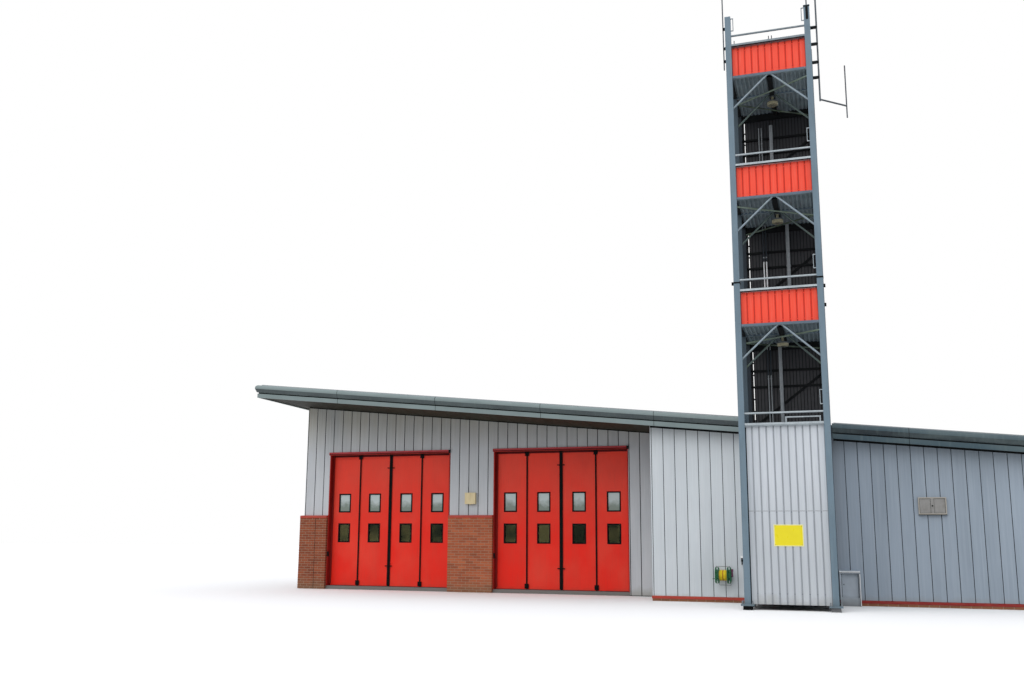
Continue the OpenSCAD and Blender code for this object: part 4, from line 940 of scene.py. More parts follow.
@dataclass
class Roof:
    """Ribs on the roof sheets, boards under the eaves, the fascia's dark joints, and painted shade in the fascia's
    groove and under the eaves.
    """

    station: Station
    rib_pitch: float = 0.333
    rib_half: float = 0.025
    rib_slope: float = 0.012
    rib_sunk: float = 0.004
    rib_high: float = 0.032
    first_rib: float = 0.12
    last_rib: float = 0.2
    tower_y: float = 0.1
    board: float = 0.6
    board_gap: float = 0.008
    board_drop: float = 0.026
    board_thick: float = 0.008
    joint_clear: float = 0.2
    joint_pitch: float = 3.035
    joint_at: float = 0.18
    joint: float = 0.011
    joint_proud: float = 0.0015
    top_band: float = 0.215
    groove: float = 0.040
    groove_back: float = 0.084
    shadow: float = 0.052
    bay_shadow: float = 0.032

    def __post_init__(self) -> None:
        """Reads the roof's edges and the tower's gap in the eaves from the frame."""
        self.fascia, self.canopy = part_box("roof_fascia_front"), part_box("soffit_canopy")
        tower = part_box("tower_rear_cladding")
        self.gap = tower[0].x - 0.04, tower[1].x + 0.04

    def ribs(self) -> None:
        """Runs a trapezium rib down the slope at each pitch."""
        low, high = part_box("roof_deck")
        piece = Piece("roof_sheet_ribs")
        for i in range(int((high.y - low.y - self.last_rib) / self.rib_pitch) + 1):
            y = low.y + self.first_rib + i * self.rib_pitch
            runs = [(low.x, high.x)]
            if y < self.tower_y:
                runs = [(low.x, self.gap[0] - 0.02), (self.gap[1] + 0.02, high.x)]
            for x0, x1 in runs:
                for v in piece.box((x0, y - self.rib_half, -self.rib_sunk), (x1, y + self.rib_half, self.rib_high)):
                    if v.co.z > 0:
                        v.co.y += math.copysign(self.rib_slope, y - v.co.y)
                    v.co.z += high.z - self.station.fall * (v.co.x - low.x)
        piece.done(ROOF_SHEET, "roof_sheet")

    def boards(self, name: str, x0: float, x1: float, y0: float, y1: float, across: bool = True) -> None:
        """Covers one soffit with boards.

        Args:
            name: Name of the piece.
            x0: Left end.
            x1: Right end.
            y0: Front.
            y1: Back.
            across: Whether the boards run from front to back.
        """
        piece = Piece(name)
        soffit, fall = self.canopy, self.station.fall
        level = soffit[1].z - fall * (x0 - soffit[0].x) - self.board_drop
        start, end = (x0, x1) if across else (y0, y1)
        count = max(1, round((end - start) / self.board))
        width = (end - start) / count
        rng = random.Random(len(name))
        for i in range(count):
            a, b = start + i * width + self.board_gap / 2, start + (i + 1) * width - self.board_gap / 2
            low, high = ((a, y0), (b, y1)) if across else ((x0, a), (x1, b))
            for v in piece.box((*low, 0.0), (*high, self.board_thick), tone=rng.random()):
                v.co.z += level - fall * (v.co.x - x0)
        piece.done(SOFFIT, "soffit")

    def joints(self) -> None:
        """Draws the dark joints of the front fascia on a thin copy of the fascia's own shape."""
        low, high = self.fascia
        first = math.ceil((low.x + self.joint_clear - self.joint_at) / self.joint_pitch)
        last = math.floor((high.x - self.joint_clear - self.joint_at) / self.joint_pitch)
        piece = Piece("fascia_joints")
        for i in range(first, last + 1):
            part = bmesh.new()
            part.from_mesh(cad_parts["roof_fascia_front"].data)
            bmesh.ops.remove_doubles(part, verts=part.verts, dist=0.0001)
            for way in (-1.0, 1.0):
                at = self.joint_at + i * self.joint_pitch + way * self.joint / 2
                bmesh.ops.bisect_plane(
                    part, geom=[*part.verts, *part.edges, *part.faces], plane_co=ALONG * at, plane_no=ALONG * way,
                    clear_outer=True,
                )
            if part.verts:
                part.normal_update()
                for v in part.verts:
                    v.co += (v.normal - ALONG * v.normal.dot(ALONG)).normalized() * self.joint_proud
                unit = bpy.data.meshes.new("joint")
                part.to_mesh(unit)
                piece.mesh.from_mesh(unit)
                bpy.data.meshes.remove(unit)
            part.free()
        bmesh.ops.holes_fill(piece.mesh, edges=[e for e in piece.mesh.edges if e.is_boundary])
        piece.done(BLACK_AND_SHADE, "fascia")

    def sloping(self, piece: Piece, low: Point, high: Point) -> None:
        """Adds a box that falls with the roof; its heights count from the line over the wall's corner."""
        for v in piece.box(low, high):
            v.co.z -= self.station.fall * v.co.x

    def lines(self) -> None:
        """Paints shade as a dark line in the groove between the fascia's bands, and the eaves' shadow as a dark strip
        over the planks.
        """
        s, (low, high) = self.station, self.fascia
        groove, eaves_shade = Piece("fascia_groove_shade"), Piece("eaves_painted_shadow")
        face = low.y + self.groove_back
        top = high.z + s.fall * low.x - self.top_band
        for x0, x1 in ((low.x + 0.09, self.gap[0]), (self.gap[1], high.x - 0.09)):
            self.sloping(groove, (x0, face - 0.002, top - self.groove), (x1, face + 0.004, top))
        under = self.canopy[1].z + s.fall * self.canopy[0].x - 0.020
        for x0, x1, y, drop in (
            (0.0, self.gap[0], 0.0, self.shadow), (self.gap[1], s.wing_x, 0.0, self.shadow),
            (s.bay_x, -0.012, s.step_y, self.bay_shadow),
        ):
            self.sloping(eaves_shade, (x0, y - 0.016, under - drop), (x1, y - 0.010, under))
        groove.done(BLACK_AND_SHADE, "fascia")
        eaves_shade.done(BLACK_AND_SHADE, "light_cladding")

    def build(self) -> None:
        """Builds the roof's covering, boards, joints and painted shade lines."""
        s = self.station
        self.ribs()
        ends, back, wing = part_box("soffit_ends"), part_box("soffit_back"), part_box("soffit_wing")
        self.boards("canopy_boards", self.canopy[0].x, 0.0, self.canopy[0].y, s.step_y)
        self.boards("wing_boards_left", 0.0, self.gap[0], wing[0].y, 0.0)
        self.boards("wing_boards_right", self.gap[1], wing[1].x, wing[0].y, 0.0)
        self.boards("back_boards", back[0].x, back[1].x, s.back_y, back[1].y)
        self.boards("left_end_boards", ends[0].x, s.bay_x, s.step_y, back[1].y, False)
        self.boards("right_end_boards", s.wing_x, ends[1].x, 0.0, back[1].y, False)
        self.joints()
        self.lines()


@dataclass
class Tower:
    """Fixings, painted shade, lamp guards and small fittings of the drill tower."""

    rib_pitch: float = 0.160
    rib_crown: float = 0.112
    rib: float = 0.030
    valley: float = 0.018
    shade_half: float = 0.010
    shade_thick: float = 0.0012
    shade_short: float = 0.002
    side: float = 0.138
    foot_z: float = 0.124
    lap_z: float = 2.17
    lower_screws: tuple[float, ...] = (0.36, 2.15)
    rear_screws: tuple[float, ...] = (-0.9, 0.6, 2.0)
    red_screws: tuple[float, ...] = (0.08, 0.69)
    couplings: tuple[float, ...] = (0.35, 1.9)
    clips: tuple[float, ...] = (0.6, 1.4, 2.2)
    guard_turns: tuple[float, ...] = (22, 67, 112, 157)
    guard_drop: float = 0.012
    guard_foot: float = 0.03
    guard_knee: float = 0.75
    guard_wire: float = 0.007
    lamp_rim: tuple[float, ...] = (0.068, 0.097)
    lamp_stem: tuple[float, ...] = (0.12, 0.10)
    lamp_collar: float = 0.12
    coupling_h: float = 0.05
    coupling_out: float = 0.014
    clip_h: float = 0.03
    clip: float = 0.040
    strap_z: float = 0.985
    strap_h: float = 0.035
    bolt_in: float = 0.032
    beam_bolt_in: float = 0.035
    beam_bolt_down: float = 0.03
    # Washer, nut and thread of an anchor bolt: foot, top, width and sides
    bolt: tuple[tuple[float, float, float, int], ...] = (
        (0.0, 0.005, 0.054, 16), (0.005, 0.031, 0.041, 6), (0.031, 0.078, 0.024, 10),
    )
    packing: float = 0.196
    packing_z: float = 0.090
    riser: float = 0.090
    riser_step: float = 0.300
    joist_h: float = 0.100
    joist_w: float = 0.110
    joist_from: float = 0.0925
    rear_beam: float = 0.070
    deck: float = 0.030
    first_lip_z: float = 4.0
    panel_h: float = 0.770
    skin: float = 0.001
    slit_edges: tuple[float, ...] = (0.174, 0.211)
    slit_x: float = 0.186
    slit_clear: float = 0.04
    slit_edge: float = 0.019
    slit_proud: float = 0.003
    line_half: float = 0.008
    line_proud: float = 0.002
    line_short: float = 0.01
    conduit: float = 0.031
    conduit_back: float = 0.014
    conduit_in: tuple[float, ...] = (0.014, 0.081)
    shade_from: tuple[float, ...] = (2.30, 2.10)
    shade_to: float = 2.95
    mast_clamps: tuple[float, ...] = (-0.30, 0.09, 0.56, 0.99)
    whip_clamps: tuple[float, ...] = (0.43, 0.77, 1.29)
    clamp: float = 0.025
    mast_x: float = 4.656
    storeys: int = 4

    def __post_init__(self) -> None:
        """Reads the tower's faces from the frame."""
        self.cladding, self.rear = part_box("tower_lower_cladding"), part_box("tower_rear_cladding")
        self.plates, self.riser_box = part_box("tower_columns_front"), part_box("dry_riser")
        self.platforms = [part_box(f"tower_platform_{n + 1}") for n in range(self.storeys)]
        self.floors = [high.z for _, high in self.platforms]
        self.left, self.right = (corner.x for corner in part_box("tower_columns_rear"))
        self.x0, self.x1 = self.left + self.side, self.right - self.side
        self.front_y = self.plates[1].y - 0.076 - self.side
        self.middle_y = self.front_y + self.side / 2
        thin_y = self.riser_box[1].y - self.conduit_back
        self.conduits = [(self.riser_box[0].x + dx, thin_y) for dx in self.conduit_in]

    def ribs_at(self, length: float) -> list[float]:
        """Places of the valleys between the ribs along a sheet."""
        count = int((length - self.rib_crown) / self.rib_pitch) + 1
        start = (length - (count - 1) * self.rib_pitch) / 2
        return [start + (i + 0.5) * self.rib_pitch for i in range(count - 1)]

    def ring(self, z: float) -> list[Matrix]:
        """Places in every valley of the front and side sheets at one height."""
        low, high = self.cladding
        places = [Matrix.Translation((self.x0 + u, low.y + self.valley, z)) for u in self.ribs_at(self.x1 - self.x0)]
        first = low.y + self.rib
        for u in self.ribs_at(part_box("tower_red_panels")[1].y - first):
            for x, turn in ((low.x + self.valley, -90), (high.x - self.valley, 90)):
                spin = Matrix.Rotation(math.radians(turn), 4, "Z")
                places.append(Matrix.Translation((x, first + u, z)) @ spin)
        return places

    def screws(self) -> None:
        """Sets rows of hexagon screws on the sheets, red ones on the red panels."""
        shape = Piece("screw_unit")
        shape.rod((0.0, 0.001, 0.0), (0.0, -0.003, 0.0), 0.026, 12)
        shape.rod((0.0, -0.003, 0.0), (0.0, -0.010, 0.0), 0.014, 6)
        unit = shape.as_unit()
        piece, caps = Piece("sheet_screws"), Piece("red_screw_caps")
        for z in self.lower_screws:
            for place in self.ring(z):
                piece.repeat(unit, place)
        spin = Matrix.Rotation(math.pi, 4, "Z")
        for floor in self.floors[1:]:
            for up in self.rear_screws:
                z = min(floor + up, self.rear[1].z - 0.2)
                for u in self.ribs_at(self.right - self.left - 0.32):
                    piece.repeat(unit, Matrix.Translation((self.right - u, self.rear[1].y - self.valley, z)) @ spin)
            for up in self.red_screws:
                for place in self.ring(floor + up):
                    caps.repeat(unit, place)
        piece.done(ZINC, "galvanised")
        caps.done(SHEET_RED, "red_sheet")

    def lap(self) -> None:
        """Lays the upper sheets' lower edge over the lower sheets, as a thin step in every rib, painted dark as the
        shadow under the lap.
        """
        piece = Piece("sheet_lap_shadow_steps")
        y = self.cladding[0].y
        for u in self.ribs_at(self.x1 - self.x0 + self.rib_pitch):
            middle = self.x0 + u - self.rib_pitch / 2
            low, high = max(self.x0, middle - self.rib_crown / 2), min(self.x1, middle + self.rib_crown / 2)
            piece.box((low, y - 0.002, self.lap_z), (high, y + 0.001, self.lap_z + 0.006))
        piece.done(JOINT, "tower_sheet")

    def valleys(self) -> None:
        """Paints shade on the floor of every valley, as thin dark strips."""
        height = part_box("tower_red_panels")[1].z - self.floors[3]
        half = self.shade_half
        for name, finish, slot, spans in (
            ("valley_shade_grey", VALLEY_SHADE_GREY, "tower_sheet", [(self.cladding[0].z, self.cladding[1].z)]),
            ("valley_shade_red", VALLEY_SHADE_RED, "red_sheet", [(floor, floor + height) for floor in self.floors[1:]]),
        ):
            piece = Piece(name)
            for low, high in spans:
                for place in self.ring(0.0):
                    piece.box(
                        (-half, -self.shade_thick, low + self.shade_short), (half, 0.0, high - self.shade_short), place,
                    )
            piece.done(finish, slot)

    def joists(self) -> None:
        """Paints shade as dark casings over the joists, rear beams, side beams and the plates under the capping rails.
        """
        piece = Piece("joist_painted_shade")
        middle, half = (self.left + self.right) / 2, self.joist_w / 2 + self.skin
        skin, (x0, x1) = self.skin, (self.x0, self.x1)
        for low, high in self.platforms:
            rear, top = high.y - self.rear_beam, high.z - self.deck
            piece.boxes(
                ((middle - half, low.y + self.joist_from, high.z - self.joist_h - skin), (middle + half, rear, top)),
                ((x0, rear - skin, low.z - skin), (x1, high.y + skin, top)),
            )
            for x in (self.left + 0.04, self.right - 0.14):
                piece.box((x - skin, low.y + 0.2, high.z - 0.061), (x + 0.101, rear - 0.05, top))
            if high.z > self.first_lip_z:
                lip, y = high.z + self.panel_h, self.front_y + 0.035 - skin
                piece.box((x0 + skin, y, lip + skin), (x1 - skin, self.front_y + self.side, lip + 0.023))
        piece.done(BLACK_AND_SHADE, "tower_steel")

    def rear_lines(self) -> None:
        """Paints shade as dark lines on the ribs and along the slit's edges inside the rear sheet, and as a dark strip
        over the front sheet's left edge.
        """
        lines = Piece("rear_sheet_shade_lines")
        low, high = self.rear
        foot, top = low.z + self.line_short, high.z - self.line_short
        x = low.x + 0.05
        while x < high.x - 0.02:
            if abs(x - self.slit_x - self.left) > self.slit_clear:
                lines.box((x - self.line_half, low.y - self.line_proud, foot), (x + self.line_half, low.y, top))
            x += self.rib_pitch / 2
        for at in self.slit_edges:
            edge = self.left + at
            lines.box((edge, low.y - self.slit_proud, foot), (edge + self.slit_edge, low.y + self.slit_proud, top))
        lines.done(BLACK_AND_SHADE, "tower_sheet")
        low, high = self.cladding
        Piece("column_gap_shade").boxes(
            ((self.x0 - 0.001, low.y - 0.002, low.z), (self.x0 + 0.020, low.y, high.z - 0.02)),
        ).done(RUBBER, "tower_sheet")

    def conduit_lengths(self) -> None:
        """Paints shade on the conduits' upper lengths and a highlight on their length on the second storey."""
        shaded_lengths, lit_lengths = Piece("conduit_painted_shade"), Piece("conduit_painted_highlights")
        foot, end = self.floors[1], self.floors[1] + self.shade_from[1]
        for floor, start in zip(self.floors, self.shade_from):
            for x, y in self.conduits:
                shaded_lengths.rod((x, y, floor + start), (x, y, floor + self.shade_to), self.conduit)
        for x, y in self.conduits:
            lit_lengths.rod((x, y, foot), (x, y, end), self.conduit)
        shaded_lengths.done(SHADED_PAINT, "galvanised", smooth=True)
        lit_lengths.done(WHITE_EDGE_AND_HIGHLIGHT, "galvanised", smooth=True)

    def packing_blocks(self) -> None:
        """Covers the blocks under the front columns' base plates."""
        half, y = self.packing / 2 + self.skin, self.middle_y
        for name, x, finish in (
            ("packing_left", self.left + self.side / 2, RUBBER), ("packing_right", self.right - self.side / 2, GROUT),
        ):
            piece = Piece(name)
            block = piece.box((x - half, y - half, 0.0), (x + half, y + half, self.packing_z - self.skin))
            piece.soften(block, 0.004)
            piece.done(finish, "tower_steel")

    def bolts(self) -> None:
        """Sets the anchor bolts of the base plates and the bolts of the platforms' front beams."""
        piece = Piece("column_bolts")
        half = (self.plates[1].y - self.plates[0].y) / 2
        reach = half - self.bolt_in
        z = self.foot_z
        for column_x in (self.left + self.side / 2, self.right - self.side / 2):
            for x in (column_x - reach, column_x + reach):
                for y in (self.plates[0].y + half - reach, self.plates[0].y + half + reach):
                    for low, high, width, sides in self.bolt:
                        piece.rod((x, y, z + low), (x, y, z + high), width, sides)
        y = self.platforms[1][0].y
        for floor in self.floors[1:]:
            z = floor - self.beam_bolt_down
            for x in (self.x0 + self.beam_bolt_in, self.x1 - self.beam_bolt_in):
                piece.rod((x, y + 0.004, z), (x, y - 0.009, z), 0.026, 6)
        piece.done(ZINC, "galvanised")

    def riser_collars(self) -> None:
        """Puts couplings and wall clips on the riser and its two conduits."""
        piece = Piece("riser_collars")
        wide, y = self.riser, self.riser_box[0].y + self.riser / 2
        for floor, step in zip(self.floors, (self.riser_step, 0.0, self.riser_step)):
            x = self.riser_box[1].x - wide / 2 - step
            for z in (floor + up for up in self.couplings):
                piece.rod((x, y, z), (x, y, z + self.coupling_h), wide + self.coupling_out, 24)
                piece.box((x - 0.02, y, z + 0.02), (x + 0.02, -0.10, z + self.coupling_h))
            for z in (floor + up for up in self.clips):
                for thin_x, thin_y in self.conduits:
                    piece.rod((thin_x, thin_y, z), (thin_x, thin_y, z + self.clip_h), self.clip)
        piece.done(PIPE, "galvanised", smooth=True)

    def lamp_guards(self) -> None:
        """Puts a rim, a wire guard and a stem collar on each lamp."""
        low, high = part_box("platform_lamps")
        x, y, wide = (low.x + high.x) / 2, (low.y + high.y) / 2, high.x - low.x
        drop = self.floors[1] - low.z
        piece = Piece("lamp_guards")
        for floor in self.floors[1:]:
            foot = floor - drop
            start, stop = self.lamp_rim
            piece.rod((x, y, foot + start), (x, y, foot + stop), wide + self.coupling_out, 40)
            start, stop = self.lamp_stem
            piece.rod((x, y, floor - start), (x, y, floor - stop), self.lamp_collar, 24)
            for turn in self.guard_turns:
                a = math.radians(turn)
                rim = Vector((math.cos(a) * wide / 2, math.sin(a) * wide / 2, 0.0))
                end, knee = Vector((x, y, foot + self.guard_foot)), Vector((x, y, foot - self.guard_drop))
                wire = (end + rim, knee + rim * self.guard_knee, knee - rim * self.guard_knee, end - rim)
                for start, stop in zip(wire, wire[1:]):
                    piece.rod(start, stop, self.guard_wire, 6)
        piece.done(AERIAL, "galvanised", smooth=True)

    def straps(self) -> None:
        """Clamps cable straps round the front columns at the first upper storey's rail."""
        piece = Piece("column_straps")
        level, y0 = self.floors[1], self.front_y
        for start, end in ((self.left, self.x0), (self.x1, self.right)):
            z, top = level + self.strap_z, level + self.strap_z + self.strap_h
            strap = piece.box((start - 0.012, y0 - 0.010, z), (end + 0.012, y0 + self.side + 0.010, top))
            piece.soften(strap, 0.003, 1)
        piece.box((self.left - 0.05, y0 + 0.04, level + 0.96), (self.left, y0 + 0.10, level + 1.03))
        for z in (level + 0.77, level + 0.32):
            piece.box((self.right, y0 + 0.04, z), (self.right + 0.045, y0 + 0.11, z + 0.07))
        y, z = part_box("tower_handrails")[0].y + 0.025, self.floors[3] + 0.84
        for x in (3.52, 3.59, 2.70):
            piece.rod((x, y, z), (x, y, z + 0.09), 0.02, 10)
        piece.done(BLACK_AND_SHADE, "galvanised")

    def aerial_clamps(self) -> None:
        """Covers the aerials' brackets and plates the head of the right column."""
        piece = Piece("aerial_clamps")
        whip_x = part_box("aerial_whip")[0].x + 0.004
        for start, end, heights in (
            (self.right + 0.001, self.mast_x, self.mast_clamps), (whip_x, self.left - 0.001, self.whip_clamps),
        ):
            for up in heights:
                z, half = self.floors[3] + up, self.clamp
                piece.box((start, self.middle_y - half, z - half), (end, self.middle_y + half, z + half))
        top, y = self.plates[1].z, self.front_y
        piece.boxes(
            ((self.x1 + 0.045, y - 0.004, top - 0.38), (self.right - 0.035, y, top - 0.05)),
            ((self.x1 - 0.006, y - 0.008, top - 0.045), (self.right + 0.006, y + 0.02, top - 0.015)),
        )
        piece.done(BLACK_AND_SHADE, "galvanised")

    def build(self) -> None:
        """Builds all fittings of the tower."""
        for make in (
            self.aerial_clamps, self.screws, self.valleys, self.joists, self.rear_lines, self.conduit_lengths,
            self.packing_blocks, self.lap, self.bolts, self.riser_collars, self.lamp_guards, self.straps,
        ):
            make()


@dataclass
class HoseReel:
    """Hose reel of the wing wall: hooped sides, carrying frame and wound hose."""

    hose: float = 0.024
    core: float = 0.058
    nesting: float = 0.87
    layers: int = 4
    tube: float = 0.017
    side: float = 0.085
    spokes: int = 6
    wire: float = 0.010
    outer_spoke: float = 0.018
    inner_spoke: float = 0.014
    first_spoke: float = 0.3
    axle_width: float = 0.06
    plate_half: float = 0.12
    plate_thick: float = 0.012
    tones: tuple[float, ...] = (0.5, 0.0, 0.0, 1.0, 0.1, 0.0)

    def __post_init__(self) -> None:
        """Reads the reel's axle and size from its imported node."""
        low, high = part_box("hose_reel")
        self.radius, self.half, self.wall = (high.z - low.z) / 2, (high.x - low.x) / 2, high.y
        self.axle = Vector(((low.x + high.x) / 2, low.y + self.radius, (low.z + high.z) / 2))

    def hoop(self, size: float, thick: float) -> bpy.types.Mesh:
        """Shapes a round hoop about the X axis.

        Args:
            size: Radius of its middle line.
            thick: Diameter of its tube.

        Returns:
            Unit mesh.
        """
        piece = Piece("hoop_unit")
        place = Matrix.Translation((0.0, 0.0, size)) @ Matrix.Rotation(math.pi / 2, 4, "X")
        ring = bmesh.ops.create_circle(piece.mesh, segments=8, radius=thick / 2, matrix=place)["verts"]
        bmesh.ops.spin(
            piece.mesh, geom=[*ring, *{e for v in ring for e in v.link_edges}], cent=(0.0, 0.0, 0.0), axis=ALONG,
            angle=2 * math.pi, steps=32, use_merge=True, use_duplicate=False,
        )
        return piece.as_unit()

    def at(self, x: float, out: float = 0.0, up: float = 0.0) -> Vector:
        """A place measured from the middle of the axle."""
        return self.axle + Vector((x, out, up))

    def sides(self) -> None:
        """Builds both hooped sides, the axle, the arms and the wall plate."""
        body = Piece("hose_reel_body")
        reach, half = self.radius - self.tube / 2, self.half
        rim = self.hoop(reach, self.tube)
        for side in (-1, 1):
            outer, inner = side * (half - self.tube / 2), side * (half - self.side + self.tube / 2)
            for x in (outer, inner):
                body.repeat(rim, Matrix.Translation(self.at(x)), 0.5)
            for i in range(self.spokes):
                angle = 2 * math.pi * i / self.spokes + self.first_spoke
                out, up = math.cos(angle) * reach, math.sin(angle) * reach
                body.rod(self.at(outer), self.at(outer, out, up), self.outer_spoke, 8)
                body.rod(self.at(inner), self.at(inner, out, up), self.inner_spoke, 8)
                body.rod(self.at(outer, out, up), self.at(inner, out, up), self.inner_spoke, 8)
            arm = self.at(outer)
            body.box((arm.x - 0.006, arm.y - 0.03, arm.z - 0.02), (arm.x + 0.006, self.wall, arm.z + 0.02))
        body.rod(self.at(-half), self.at(half), self.axle_width, 20)
        low, high = self.at(-half, up=-self.plate_half), self.at(half, up=self.plate_half)
        body.soften(body.box((low.x, self.wall - self.plate_thick, low.z), (high.x, self.wall, high.z)), 0.003)
        body.rod(self.at(-half, up=-0.09), self.at(-half - 0.075, up=-0.09), 0.02, 10)
        body.done(GREEN_PLASTIC, "green_plastic", smooth=True, replaces=("hose_reel",))

    def frame(self) -> None:
        """Bends the wire frame over and under the reel."""
        piece = Piece("hose_reel_wire_frame")
        half = self.half
        for run in (
            ((-half + 0.02, 0.15), (-half + 0.02, 0.215), (half - 0.02, 0.215), (half - 0.02, 0.15)),
            ((-half + 0.07, -0.17), (-half + 0.10, -0.235), (half, -0.235), (half - 0.01, -0.17)),
        ):
            for (x0, up0), (x1, up1) in zip(run, run[1:]):
                piece.rod(self.at(x0, up=up0), self.at(x1, up=up1), self.wire, 8)
        piece.rod(self.at(half, up=-0.03), self.at(half + 0.035, up=-0.03), 0.03, 10)
        piece.done(AERIAL, "galvanised", smooth=True)

    def nozzle(self) -> None:
        """Hangs the nozzle on its clip at the right side."""
        piece = Piece("hose_reel_nozzle")
        x = self.half + 0.033
        piece.rod(self.at(x, up=-0.035), self.at(x, up=0.09), 0.044, 16, tip=0.032)
        piece.rod(self.at(x, up=0.09), self.at(x, up=0.15), 0.054, 16)
        piece.done(NOZZLE, "red_trim", smooth=True)

    def wound(self) -> None:
        """Winds the hose in layers on a dark core."""
        piece = Piece("hose_reel_hose")
        turns = int(2 * (self.half - self.side) / self.hose)
        for layer in range(self.layers):
            coil = self.hoop(self.core + layer * self.hose * self.nesting, self.hose)
            count = turns - layer % 2
            for i in range(count):
                x = (i - (count - 1) / 2) * self.hose
                piece.repeat(coil, Matrix.Translation(self.at(x)), self.tones[i % len(self.tones)])
        piece.done(HOSE, "yellow_plate", smooth=True)

    def build(self) -> None:
        """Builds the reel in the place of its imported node."""
        self.sides()
        self.frame()
        self.nozzle()
        self.wound()


@dataclass
class Doors:
    """Small ironmongery of the folding doors, and painted shade round their heads and left jambs."""

    station: Station
    fold: float = 1.025
    fold_lip_half: float = 0.023
    meeting_lip_half: float = 0.050
    hinge_half: float = 0.060
    hinge_h: float = 0.130
    hinge_foot: float = 0.005
    hinge_top: float = 0.015
    bolt_half: float = 0.110
    bolt_z: tuple[float, ...] = (0.705, 3.637)
    latch_z: float = 0.87
    lining: float = 0.030
    jamb_shade: float = 0.055
    head_lip: float = 0.050
    head_h: float = 0.076

    def build(self) -> None:
        """Builds the doors' small pieces."""
        self.heads()
        self.latches()
        self.gasket_lips()

    def latches(self) -> None:
        """Sets a dark latch box on the left jamb of each doorway."""
        piece = Piece("door_latches")
        y, z = self.station.step_y, self.station.floor_z + self.latch_z
        for start, _ in self.station.doors:
            piece.soften(piece.box((start + 0.018, y - 0.030, z), (start + 0.060, y + 0.030, z + 0.15)), 0.004)
        piece.done(BLACK_AND_SHADE, "galvanised")

    def gasket_lips(self) -> None:
        """Lays the soft lips of the gaskets over the leaves' edges, with hinge covers and bolts."""
        piece = Piece("gasket_lips")
        leaf, leaf_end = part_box("door_1_leaves")
        y, foot, top = leaf.y, self.station.floor_z + 0.03, leaf_end.z
        for start, end in self.station.doors:
            middle = (start + end) / 2
            folds = (middle - self.fold, middle + self.fold)
            lips = [(middle, self.meeting_lip_half), *((x, self.fold_lip_half) for x in folds)]
            for x, half in lips:
                for a, b in ((x - half, x - 0.002), (x + 0.002, x + half)):
                    piece.soften(piece.box((a, y - 0.006, foot), (b, y + 0.001, top)), 0.002, 1)
            for x in folds:
                for z in (foot + self.hinge_foot, top - self.hinge_top - self.hinge_h):
                    low, high = (x - self.hinge_half, y - 0.024, z), (x + self.hinge_half, y, z + self.hinge_h)
                    piece.soften(piece.box(low, high), 0.004, 1)
            for z in self.bolt_z:
                piece.box((middle - self.bolt_half, y - 0.026, z - 0.013), (middle + self.bolt_half, y, z + 0.013))
        piece.done(RUBBER, "black_rubber")

    def heads(self) -> None:
        """Covers the flashing over each doorway, with its dark end stop, paints shadow on the flashing's lower band
        and along the leaves' tops, and paints shade on the left linings and leaf edges.
        """
        flashing, stops = Piece("door_head_flashings"), Piece("door_head_end_stops")
        head_shade, jamb_shade = Piece("door_head_painted_shadows"), Piece("door_jamb_painted_shade")
        for name in ("door_1_surround", "door_2_surround"):
            low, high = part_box(name)
            x0, x1, y, lip = low.x - 0.001, high.x + 0.001, low.y + 0.062, high.z - self.head_lip
            flashing.box((x0, low.y - 0.002, lip), (x1, y, high.z + 0.001))
            # Painted shadow: the flashing's lower band
            head_shade.box((x0, low.y - 0.002, high.z - self.head_h), (x1, y, lip))
            stops.box((high.x - 0.050, low.y - 0.004, high.z - 0.092), (high.x + 0.003, y, high.z + 0.002))
        low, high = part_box("door_1_leaves")
        foot = self.station.floor_z + 0.002
        for start, end in self.station.doors:
            x = start + self.lining
            # Painted shadow along the leaves' tops
            head_shade.box((start + 0.035, low.y - 0.005, high.z - 0.070), (end - 0.035, low.y + 0.001, high.z))
            # Painted shade on the left lining's reveal and on the leaf edge beside it
            jamb_shade.boxes(
                ((x - 0.001, self.station.step_y, foot), (x + 0.001, low.y, high.z)),
                ((x, low.y - 0.002, foot + 0.05), (x + self.jamb_shade, low.y, high.z)),
            )
        flashing.done(HEAD_RED, "red_door")
        stops.done(BLACK_AND_SHADE, "red_door")
        head_shade.done(HEAD_SHADOW, "red_door")
        jamb_shade.done(DEEP_SHADE_RED, "red_door")


